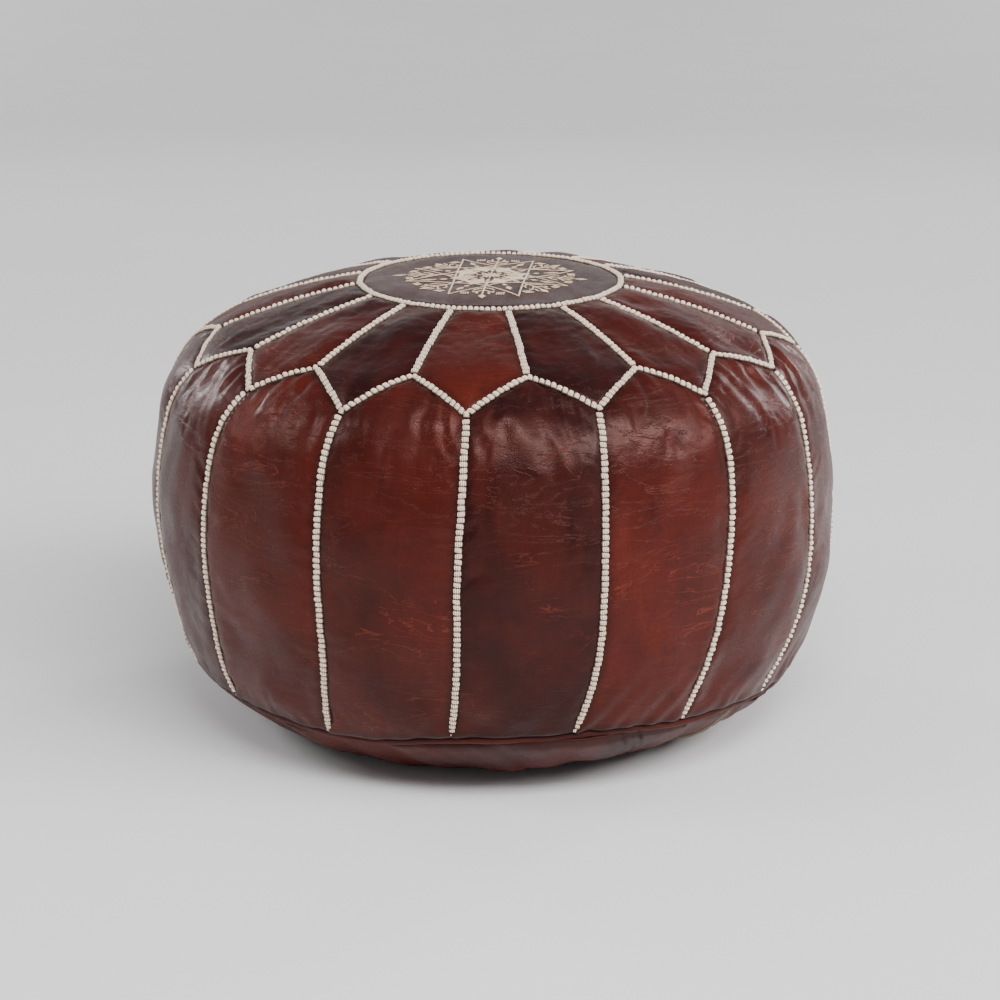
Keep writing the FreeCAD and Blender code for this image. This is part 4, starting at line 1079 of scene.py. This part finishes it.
class Stitches:
    """Satin stitches on the medallion, each a short rounded thread."""

    SECTION = ((-0.5, 0.0), (-0.3, 0.8), (0.3, 0.8), (0.5, 0.0))
    STATIONS = ((0.0, 0.15), (0.2, 0.9), (0.8, 0.9), (1.0, 0.15))

    def __init__(self, seed):
        self.rng = np.random.default_rng(seed)
        self.points = []
        self.faces = []
        self.roots = []
        self.lays = []

    def thread(self, start, end):
        start = start + self.rng.normal(0, 0.00012, 2)
        end = end + self.rng.normal(0, 0.00012, 2)
        run = end - start
        length = np.linalg.norm(run)
        if length < 0.0004:
            return
        along = run / length
        side = np.array([-along[1], along[0]])
        first = len(self.points)
        mark = self.rng.uniform(0, 9)
        tall = STITCH_HEIGHT * self.rng.uniform(0.8, 1.15)
        for share, height in self.STATIONS:
            for across, up in self.SECTION:
                flat = start + run * share + side * across * STITCH * 1.15
                self.points.append((flat[0], flat[1], up * height * tall))
                # Painted shade: darker low down on each stitch, where it meets the leather.
                self.roots.append(1 - min(1, up * height * 1.5))
                self.lays.append((across * STITCH, share * length, mark))
        wide = len(self.SECTION)
        for station in range(len(self.STATIONS) - 1):
            for edge in range(wide):
                a = first + station * wide + edge
                b = first + station * wide + (edge + 1) % wide
                self.faces.append((b, a, a + wide, b + wide))
        last = first + (len(self.STATIONS) - 1) * wide
        self.faces.append(tuple(first + edge for edge in range(wide)))
        self.faces.append(tuple(last + edge for edge in reversed(range(wide))))

    def bar(self, start, end, width, slant=0.0):
        """Satin bar: threads laid across the line from start to end."""
        run = end - start
        length = np.linalg.norm(run)
        along = run / length
        side = np.array([-along[1], along[0]]) * width / 2 + along * slant * width / 2
        for share in np.arange(STITCH / 2, length, STITCH) / length:
            middle = start + run * share
            self.thread(middle - side, middle + side)

    def kite(self, root, tip, half_width, shoulder=0.5):
        """Filled kite from root to tip, its threads laid across it."""
        run = tip - root
        length = np.linalg.norm(run)
        side = np.array([-run[1], run[0]]) / length
        for share in np.arange(STITCH / 2, length, STITCH) / length:
            wide = share / shoulder if share < shoulder else (1 - share) / (1 - shoulder)
            middle = root + run * share
            self.thread(middle - side * half_width * wide, middle + side * half_width * wide)

    def loose(self, point, spread=0.0008):
        return point + self.rng.normal(0, spread, 2)


def sew_star(s):
    """Eight-pointed star of long lines over a ring of petals, with arrows, barbs, combs and diamonds."""
    for spoke in range(16):
        angle = spoke * math.pi / 8
        reach = 0.0105 if spoke % 2 == 0 else 0.0075
        s.bar(turned(angle, 0.0008), s.loose(turned(angle, reach), 0.0003), 0.0012)
    for petal in range(8):
        angle = TIP_ANGLE + petal * math.pi / 4
        s.kite(turned(angle, 0.0105), s.loose(turned(angle, 0.0325), 0.0008), 0.0088, 0.55)
        between = petal * math.pi / 4
        left_end = s.loose(turned(between - 0.20, 0.0235), 0.0004)
        s.bar(left_end, s.loose(turned(between + 0.20, 0.0235), 0.0004), 0.0046)
        s.kite(turned(between, 0.0125), s.loose(turned(between, 0.0205), 0.0004), 0.0021)
        s.kite(turned(between, 0.0265), s.loose(turned(between, 0.0345), 0.0004), 0.0020)
    tips = [s.loose(turned(TIP_ANGLE + tip * math.pi / 4, TIP_RADIUS), 0.0014) for tip in range(8)]
    for tip in range(8):
        s.bar(tips[tip], tips[(tip + 3) % 8], 0.0012, 0.8)
        angle = TIP_ANGLE + tip * math.pi / 4
        s.kite(turned(angle, 0.0345), s.loose(turned(angle, 0.0405), 0.0004), 0.0026)
        s.kite(turned(angle, 0.0425), s.loose(turned(angle, 0.0545), 0.0008), 0.0027)
    for arrow in range(8):
        sew_arrow(s, arrow * math.pi / 4, ARROW_RADIUS * (1.0 if arrow % 2 == 0 else 0.93))


def sew_arrow(s, angle, reach):
    """Stem with a diamond at its tip, two pairs of bent barbs, and a comb on each side."""
    head = reach - 0.0115
    s.bar(turned(angle, 0.0385), turned(angle, head), 0.0013)
    s.kite(turned(angle, head), s.loose(turned(angle, reach), 0.0006), 0.0033, 0.5)
    for way in (-1, 1):
        for near, far, wide, hook in ((0.0440, 0.0490, 0.13, 0.0040), (0.0515, 0.0590, 0.125, -0.0030)):
            elbow = s.loose(turned(angle + way * wide, far), 0.0004)
            s.bar(turned(angle, near), elbow, 0.0014)
            s.bar(elbow, turned(angle + way * wide * 1.15, far + hook), 0.0013)
        s.kite(turned(angle + way * 0.07, 0.0575),
               s.loose(turned(angle + way * 0.085, 0.0645), 0.0004), 0.0013)
        for tooth in range(4):
            middle = angle + way * (0.185 + tooth * 0.028)
            s.bar(turned(middle, 0.0605), turned(middle - way * 0.02, 0.0650), 0.0010)
        s.bar(turned(angle + way * 0.17, 0.0605), turned(angle + way * 0.285, 0.0605), 0.0009)


def build_embroidery(grid, material):
    stitches = Stitches(1200)
    sew_star(stitches)
    flat = np.array(stitches.points)
    x = RING_CENTRE[0] + flat[:, 0]
    y = RING_CENTRE[1] + flat[:, 1]
    azimuth = np.arctan2(x, -y)
    path = path_at_radius(np.hypot(x, y))
    lift = leather_lift(grid, x, y) + 0.00005 + flat[:, 2]
    piece = new_object("medallion_star_stitches", spot(azimuth, path, lift), stitches.faces, material)
    # The root attribute carries the painted shade of the stitches.
    set_attribute(piece.data, "root", "FLOAT", stitches.roots)
    set_attribute(piece.data, "lay", "FLOAT_VECTOR", stitches.lays)
    settle_piece(piece, "medallion_embroidery")


def leather_lift(grid, x, y):
    """How far the medallion's leather stands above the smooth skin at points on it."""
    points = finished_points(grid)
    smooth_height = spot(np.arctan2(points[..., 0], -points[..., 1]),
                         path_at_radius(np.hypot(points[..., 0], points[..., 1])))[..., 2]
    rise = points[..., 2] - smooth_height
    flat = points[..., :2].reshape(-1, 2)
    values = rise.reshape(-1)
    lifts = np.zeros(len(x))
    query = np.column_stack([x, y])
    for start in range(0, len(query), 500):
        block = query[start:start + 500]
        gap = ((block[:, None] - flat[None]) ** 2).sum(2)
        near = np.argpartition(gap, 4, axis=1)[:, :4]
        weight = 1 / (np.take_along_axis(gap, near, 1) + 1e-9)
        lifts[start:start + 500] = (values[near] * weight).sum(1) / weight.sum(1)
    return lifts


# ---------------------------------------------------------------- base: welt, panels, zip
WELT_RADIUS = 0.0042
WELT_TURNS = 480
WELT_SECTION = 16
# Behind the roll the seam allowance runs up inside the side panels.
WELT_ALLOWANCE = 0.0045


def base_lift(azimuth, path):
    """Wrinkles of the base: strongest on the band under the welt, none where it stands on the floor."""
    turn = np.stack([np.sin(azimuth), np.cos(azimuth)], -1)
    band = smooth(path, BASE_FLAT_RADIUS + 0.004, BASE_FLAT_RADIUS + 0.05)
    twist = azimuth + (path - RIM_PATH) * 2.2
    spun = np.stack([np.sin(twist), np.cos(twist)], -1)
    folds = 0.0009 * ripples(spun, 0.16, 1300, 20) + 0.0005 * (1 - 2 * np.abs(ripples(spun, 0.09, 1301, 20)))
    dents = 0.0010 * ripples(np.concatenate([turn * 0.2, path[..., None]], -1), 0.06, 1302)
    return band * (folds + dents)


def build_welt(material):
    """Folded leather lip: a flattened roll, pointed outwards, that wanders with the foot of the cover."""
    azimuth = np.linspace(0, 2 * math.pi, WELT_TURNS, endpoint=False)
    turn = np.stack([np.sin(azimuth), np.cos(azimuth)], -1)
    path = WELT_PATH + foot_pull(azimuth) + 0.0005 * ripples(turn, 0.5, 1310)
    proud = -0.0016 + 0.0004 * ripples(turn, 0.35, 1311)
    section = np.linspace(0, 2 * math.pi, WELT_SECTION, endpoint=False)
    out = np.cos(section)
    reach = np.where(out > 0, WELT_RADIUS * 0.72 * out, WELT_RADIUS * 0.9 * out)
    tall = WELT_RADIUS * 0.80 * np.sin(section) * (1 - 0.15 * np.clip(out, 0, 1))
    tall += WELT_ALLOWANCE * np.sqrt(np.clip(-out, 0, 1)) * np.clip(np.sin(section), 0, 1)
    crimp = 1 + 0.07 * ripples(turn, 0.03, 1312)
    path_grid = path[:, None] + tall[None] * crimp[:, None]
    lift_grid = proud[:, None] + reach[None] * crimp[:, None]
    points = spot(azimuth[:, None], path_grid, lift_grid)
    faces = []
    for row in range(WELT_TURNS):
        for column in range(WELT_SECTION):
            after, beside = (row + 1) % WELT_TURNS, (column + 1) % WELT_SECTION
            faces.append((row * WELT_SECTION + column, after * WELT_SECTION + column,
                          after * WELT_SECTION + beside, row * WELT_SECTION + beside))
    piece = new_object("folded_base_welt", points, faces, material)
    hide = np.stack([azimuth[:, None] * 0.24 + 0 * tall[None],
                     section[None] * WELT_RADIUS + 0 * path[:, None],
                     np.full_like(path_grid, 21.0)], -1)
    set_attribute(piece.data, "hide", "FLOAT_VECTOR", hide)
    # Painted shade: the edge value falls towards zero on the welt's inner side, under the overhang of the
    # side panels, and the leather material darkens the welt most there.
    edge = np.clip(0.0025 + np.broadcast_to(reach, path_grid.shape) * 1.6, 0, 1)
    set_attribute(piece.data, "edge", "FLOAT", edge)
    set_attribute(piece.data, "tone", "FLOAT", np.full(path_grid.shape, 0.55))
    round_off(piece)
    settle_piece(piece, "base_welt")


BASE_COLUMNS = 150
BASE_ROWS = 34
# Section of a base panel across the zip: distance from the zip's middle and depth under the skin, in
# millimetres. The leather folds under along the channel and comes back inside.
HEM_SECTION = ((9.6, 3.9), (7.4, 4.6), (5.6, 4.7), (4.5, 4.2), (3.9, 3.0), (3.8, 1.6), (4.3, 0.6), (5.3, 0.1))
# Where the outer and the inner face start beside the zip, and how deep the inner face lies.
OUTER_START = 6.2
INNER_START = 8.6
PANEL_INNER = 2.0
SMUDGE_AZIMUTH = math.radians(26)


def zip_frame():
    """Unit vectors along the zip, towards its front end, and across it to the right of that."""
    along = np.array([math.sin(ZIP_AZIMUTH), -math.cos(ZIP_AZIMUTH)])
    return along, np.array([-along[1], along[0]])


def base_place(along, across):
    """Place on the skin of a point of the base laid flat, given along and across the zip."""
    run, side = zip_frame()
    flat = np.asarray(along)[..., None] * run + np.asarray(across)[..., None] * side
    return np.arctan2(flat[..., 0], -flat[..., 1]), np.hypot(flat[..., 0], flat[..., 1])


def base_rim(azimuth):
    """Path of the base panels' upper edge, just under the welt."""
    return RIM_PATH + foot_pull(azimuth) + 0.002


def channel_spread(along):
    """The channel opens a little towards the front end of the zip, where the tape bulges out."""
    return 0.0024 * smooth(along, 0.155, 0.195)


def base_points(along, across, depth):
    azimuth, path = base_place(along, across)
    wrinkle = base_lift(azimuth, path)
    points = spot(azimuth, path, wrinkle - depth)
    floor = 0.0002 + np.maximum(depth, 0) * np.clip(1 - path / BASE_FLAT_RADIUS, 0, 1)
    points[..., 2] = np.maximum(points[..., 2], floor)
    return points, azimuth, path


def build_base_panel(side, name, material):
    """Half of the base as one closed skin: hem, outer face, upper edge and inner face."""
    ends = math.pi / 2 - 0.03
    angle = np.linspace(-ends, ends, BASE_COLUMNS)
    rim_along = np.sin(angle)
    rim_across = np.cos(angle)
    turned_azimuth = base_place(rim_along, side * rim_across)[0]
    rim = base_rim(turned_azimuth)
    far_along, far_across = rim * rim_along, rim * rim_across
    # Each row runs parallel to the zip: distance from the zip, depth, and share of the way to the rim.
    rows = [(distance, depth, 0.0) for distance, depth in HEM_SECTION]
    rows += [(OUTER_START, 0.0, share) for share in np.linspace(0, 1, BASE_ROWS)]
    rows += [(INNER_START, PANEL_INNER, share) for share in np.linspace(1, 0, BASE_ROWS // 2)]
    distance, depth, share = np.array(rows).T[:, :, None]
    start = np.minimum(distance * MM, far_across)
    along = np.repeat(far_along[None], len(rows), 0)
    across = start + (far_across - start) * share + channel_spread(along)
    depth = np.repeat(depth * MM, BASE_COLUMNS, 1)
    points, azimuth, path = base_points(along, side * across, depth)
    count = len(rows)
    faces = []
    for r in range(count):
        below = (r + 1) % count
        for c in range(BASE_COLUMNS - 1):
            quad = (r * BASE_COLUMNS + c, r * BASE_COLUMNS + c + 1,
                    below * BASE_COLUMNS + c + 1, below * BASE_COLUMNS + c)
            faces.append(quad if side < 0 else tuple(reversed(quad)))
    for c in (0, BASE_COLUMNS - 1):
        cap = tuple(r * BASE_COLUMNS + c for r in range(count))
        faces.append(cap if (c == 0) == (side > 0) else tuple(reversed(cap)))
    piece = new_object(name, points, faces, material)
    hide = np.stack([along, across, np.full_like(along, 23.0 + side)], -1)
    set_attribute(piece.data, "hide", "FLOAT_VECTOR", hide)
    # Painted shade: the edge value is small just under the welt and where the leather turns into the zip
    # channel, and the leather material darkens it there.
    rim_gap = np.clip(base_rim(azimuth) - path, 0, 1)
    set_attribute(piece.data, "edge", "FLOAT", np.minimum(rim_gap, 0.003 + np.abs(across - 0.004)))
    smudge = np.exp(-((azimuth - SMUDGE_AZIMUTH) / 0.07) ** 2 - ((path - RIM_PATH + 0.02) / 0.02) ** 2)
    set_attribute(piece.data, "tone", "FLOAT", 0.52 - 0.9 * smudge)
    return piece


def strip(name, stations, section, material):
    """Closed strip along the zip: section points (across, depth) as functions of the place along it."""
    rings = [section(station) for station in stations]
    count = len(rings[0])
    along = np.repeat(np.array(stations)[:, None], count, 1)
    across = np.array([[point[0] for point in ring] for ring in rings])
    depth = np.array([[point[1] for point in ring] for ring in rings])
    points, _, _ = base_points(along, across, depth)
    faces = []
    for r in range(len(stations) - 1):
        for c in range(count):
            beside = (c + 1) % count
            faces.append((r * count + c, r * count + beside, (r + 1) * count + beside, (r + 1) * count + c))
    faces.append(tuple(reversed(range(count))))
    faces.append(tuple((len(stations) - 1) * count + c for c in range(count)))
    piece = new_object(name, points, faces, material)
    set_attribute(piece.data, "hide", "FLOAT_VECTOR", np.stack([along, across, depth], -1))
    middle = np.abs(across)
    set_attribute(piece.data, "edge", "FLOAT", np.minimum(np.abs(middle - 0.0012), np.abs(0.012 - middle)))
    return piece


TAPE_DEPTH = 0.0063
TAPE_INNER_DEPTH = 0.0069
TAPE_INNER_EDGE = 0.0012
TAPE_OUTER_EDGE = 0.012
COIL_END = 0.150
ZIP_END_GAP = 0.0005


def tape_depth(along):
    """The tape lies deep behind the coils, and comes up to the leather past their front end."""
    return TAPE_DEPTH - (TAPE_DEPTH + 0.0002) * smooth(along, COIL_END, COIL_END + 0.032)


def build_tape(side, name, material):
    reach = RIM_PATH - ZIP_END_GAP

    def section(along):
        depth = tape_depth(along)
        inner = TAPE_INNER_EDGE * (1 - smooth(along, COIL_END, COIL_END + 0.02)) + 0.00015
        outer = TAPE_OUTER_EDGE - 0.0056 * smooth(along, COIL_END, COIL_END + 0.03)
        thick = TAPE_INNER_DEPTH - TAPE_DEPTH
        crown = 0.0007 * smooth(along, COIL_END, COIL_END + 0.03)
        top = [(inner, depth - crown), ((inner + outer) / 2, depth - crown * 0.7), (outer, depth)]
        low = [(across, deep + thick) for across, deep in reversed(top)]
        return [(across * side, deep) for across, deep in top + low]

    return strip(name, np.arange(-reach, reach + 0.0015, 0.003), section, material)


COIL_PITCH = 0.0016
COIL_STEPS = 9
COIL_WIRE = 0.00034


def build_coil(side, name, material):
    """Nylon coil as a real helix along the tape's edge, half a turn out of step with the other one."""
    start, end = -RIM_PATH + 0.030, COIL_END + 0.012
    turns = int((end - start) / COIL_PITCH)
    steps = turns * COIL_STEPS
    phase = np.arange(steps + 1) / COIL_STEPS
    along = start + phase * COIL_PITCH + (COIL_PITCH / 2 if side > 0 else 0)
    turn = phase * 2 * math.pi
    across = side * (0.0019 - 0.0012 * np.cos(turn) - 0.0003)
    depth = 0.0052 - 0.00045 * np.sin(turn)
    centre, _, _ = base_points(along, across, depth)
    around = np.linspace(0, 2 * math.pi, 6, endpoint=False)
    tangent = np.gradient(centre, axis=0)
    tangent /= np.linalg.norm(tangent, axis=1, keepdims=True)
    up = np.tile([0.0, 0.0, 1.0], (len(centre), 1))
    first = np.cross(tangent, up)
    first /= np.linalg.norm(first, axis=1, keepdims=True) + 1e-9
    second = np.cross(tangent, first)
    ring = centre[:, None] + COIL_WIRE * (np.cos(around)[None, :, None] * first[:, None]
                                          + np.sin(around)[None, :, None] * second[:, None])
    faces = []
    for r in range(len(centre) - 1):
        for c in range(6):
            beside = (c + 1) % 6
            faces.append((r * 6 + c, (r + 1) * 6 + c, (r + 1) * 6 + beside, r * 6 + beside))
    faces.append(tuple(range(6)))
    faces.append(tuple(reversed([(len(centre) - 1) * 6 + c for c in range(6)])))
    return new_object(name, ring, faces, material)


# ---------------------------------------------------------------- filling
FILLING_GAP = 0.0075


def build_filling(material):
    """Wadding: the skin's shape, smaller, with lumps."""
    paths = np.linspace(0.004, EVEN[-1] - 0.004, 110)
    azimuths = np.linspace(0, 2 * math.pi, 192, endpoint=False)
    azimuth, path = np.meshgrid(azimuths, paths)
    smooth_points = spot(azimuth, path)
    lumps = 0.0022 * ripples(smooth_points, 0.07, 1400) + 0.0010 * ripples(smooth_points, 0.03, 1401)
    points = spot(azimuth, path, -FILLING_GAP - 0.003 + np.clip(lumps, -0.003, 0.0028))
    points[..., 2] = np.maximum(points[..., 2], 0.009)
    rows, columns = azimuth.shape
    faces = []
    for r in range(rows - 1):
        for c in range(columns):
            beside = (c + 1) % columns
            corner, right = r * columns + c, r * columns + beside
            faces.append((corner, right, right + columns, corner + columns))
    faces.append(tuple(reversed(range(columns))))
    faces.append(tuple((rows - 1) * columns + c for c in range(columns)))
    piece = new_object("wadding_filling", points, faces, material)
    settle_piece(piece, "filling")
    return piece


# ---------------------------------------------------------------- floor, lights, camera
def build_floor():
    n = Nodes("pale_floor")
    place = n.node("TexCoord").outputs["Object"]
    faint = n.noise(place, 3.0, 2.0)
    pale = n.mix(n.ramp(faint, 0.3, 0.7), (0.88, 0.88, 0.88, 1), (0.90, 0.90, 0.90, 1))
    n.feed(n.shader.inputs["Base Color"], pale)
    n.shader.inputs["Roughness"].default_value = 0.85
    n.shader.inputs["Specular IOR Level"].default_value = 0.2
    size = 30.0
    corners = [(-size, -size, 0), (size, -size, 0), (size, size, 0), (-size, size, 0)]
    floor = new_object("floor", corners, [(0, 1, 2, 3)], n.material)


def area_light(name, place, target, size, power):
    data = bpy.data.lights.new(name, "AREA")
    data.shape = "RECTANGLE"
    data.size, data.size_y = size
    data.energy = power
    lamp = bpy.data.objects.new(name, data)
    lamp.location = place
    lamp.rotation_mode = "QUATERNION"
    lamp.rotation_quaternion = (Vector(target) - Vector(place)).to_track_quat("-Z", "Y")
    bpy.context.scene.collection.objects.link(lamp)


def build_lights():
    shoulder = (0, 0, 0.27)
    area_light("right_softbox", (2.75, -1.75, 2.45), shoulder, (2.7, 1.2), 140)
    area_light("front_softbox", (0.45, -1.9, 2.3), shoulder, (1.6, 0.9), 62)
    area_light("left_softbox", (-2.2, -0.4, 1.7), shoulder, (0.9, 0.8), 20)
    area_light("back_softbox", (0.0, 2.6, 1.15), shoulder, (3.4, 0.9), 7.5)
    area_light("floor_wash_left", (-5.0, 5.0, 2.2), (0, 5.5, 0), (2.0, 1.5), 190)
    area_light("floor_wash_right", (5.0, 5.0, 2.2), (0, 5.5, 0), (2.0, 1.5), 190)
    world = bpy.data.worlds.new("studio")
    world.use_nodes = True
    world.node_tree.nodes["Background"].inputs[0].default_value = (1, 1, 1, 1)
    world.node_tree.nodes["Background"].inputs[1].default_value = 0.31
    bpy.context.scene.world = world


CAMERA_ELEVATION = math.radians(16.13)
CAMERA_DISTANCE = 2.2
CAMERA_AIM = (0.0, 0.0, 0.17)
SENSOR = 36.0
LENS = 100.33


def build_camera():
    data = bpy.data.cameras.new("camera")
    data.sensor_width = SENSOR
    data.lens = LENS
    data.shift_x = 0.0079
    data.shift_y = -0.0070
    data.clip_start, data.clip_end = 0.05, 100.0
    camera = bpy.data.objects.new("camera", data)
    camera.location = (CAMERA_AIM[0], CAMERA_AIM[1] - CAMERA_DISTANCE * math.cos(CAMERA_ELEVATION),
                       CAMERA_AIM[2] + CAMERA_DISTANCE * math.sin(CAMERA_ELEVATION))
    camera.rotation_euler = (math.pi / 2 - CAMERA_ELEVATION, 0, 0)
    bpy.context.scene.collection.objects.link(camera)
    bpy.context.scene.camera = camera


# ---------------------------------------------------------------- putting it together
def main():
    panel_leather = leather_material("dyed_panel_leather")
    medallion_leather = leather_material("plum_medallion_leather", plum=True)
    base_leather = leather_material("base_leather", roughness=0.5)
    braid_thread = thread_material("cream_braid_thread", srgb("ffeed9"), srgb("e8c3a2"), 2200.0)
    star_thread = thread_material("beige_star_thread", srgb("ead0b4"), srgb("bf9d7c"), 3600.0)

    grids = make_grids()
    for grid in grids:
        build_panel(grid, medallion_leather if grid["kind"] == "medallion" else panel_leather)
    build_braids(braid_thread)
    build_embroidery(grids[-1], star_thread)
    build_welt(base_leather)
    tape, coil = tape_material(), coil_material()
    for side, way in ((-1, "left"), (1, "right")):
        panel = build_base_panel(side, f"leather_base_{way}", base_leather)
        settle_piece(panel, f"base_panel_{way}")
        settle_piece(build_tape(side, f"woven_zip_tape_{way}", tape), f"zip_tape_{way}")
        settle_piece(build_coil(side, f"nylon_zip_coil_{way}", coil), f"zip_coil_{way}")
    build_filling(wadding_material())
    brass = brass_material()
    for node in ("zip_slider", "zip_pull_tab"):
        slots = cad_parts[node].data.materials
        slots.clear()
        slots.append(brass)
    build_floor()
    build_lights()
    build_camera()


main()
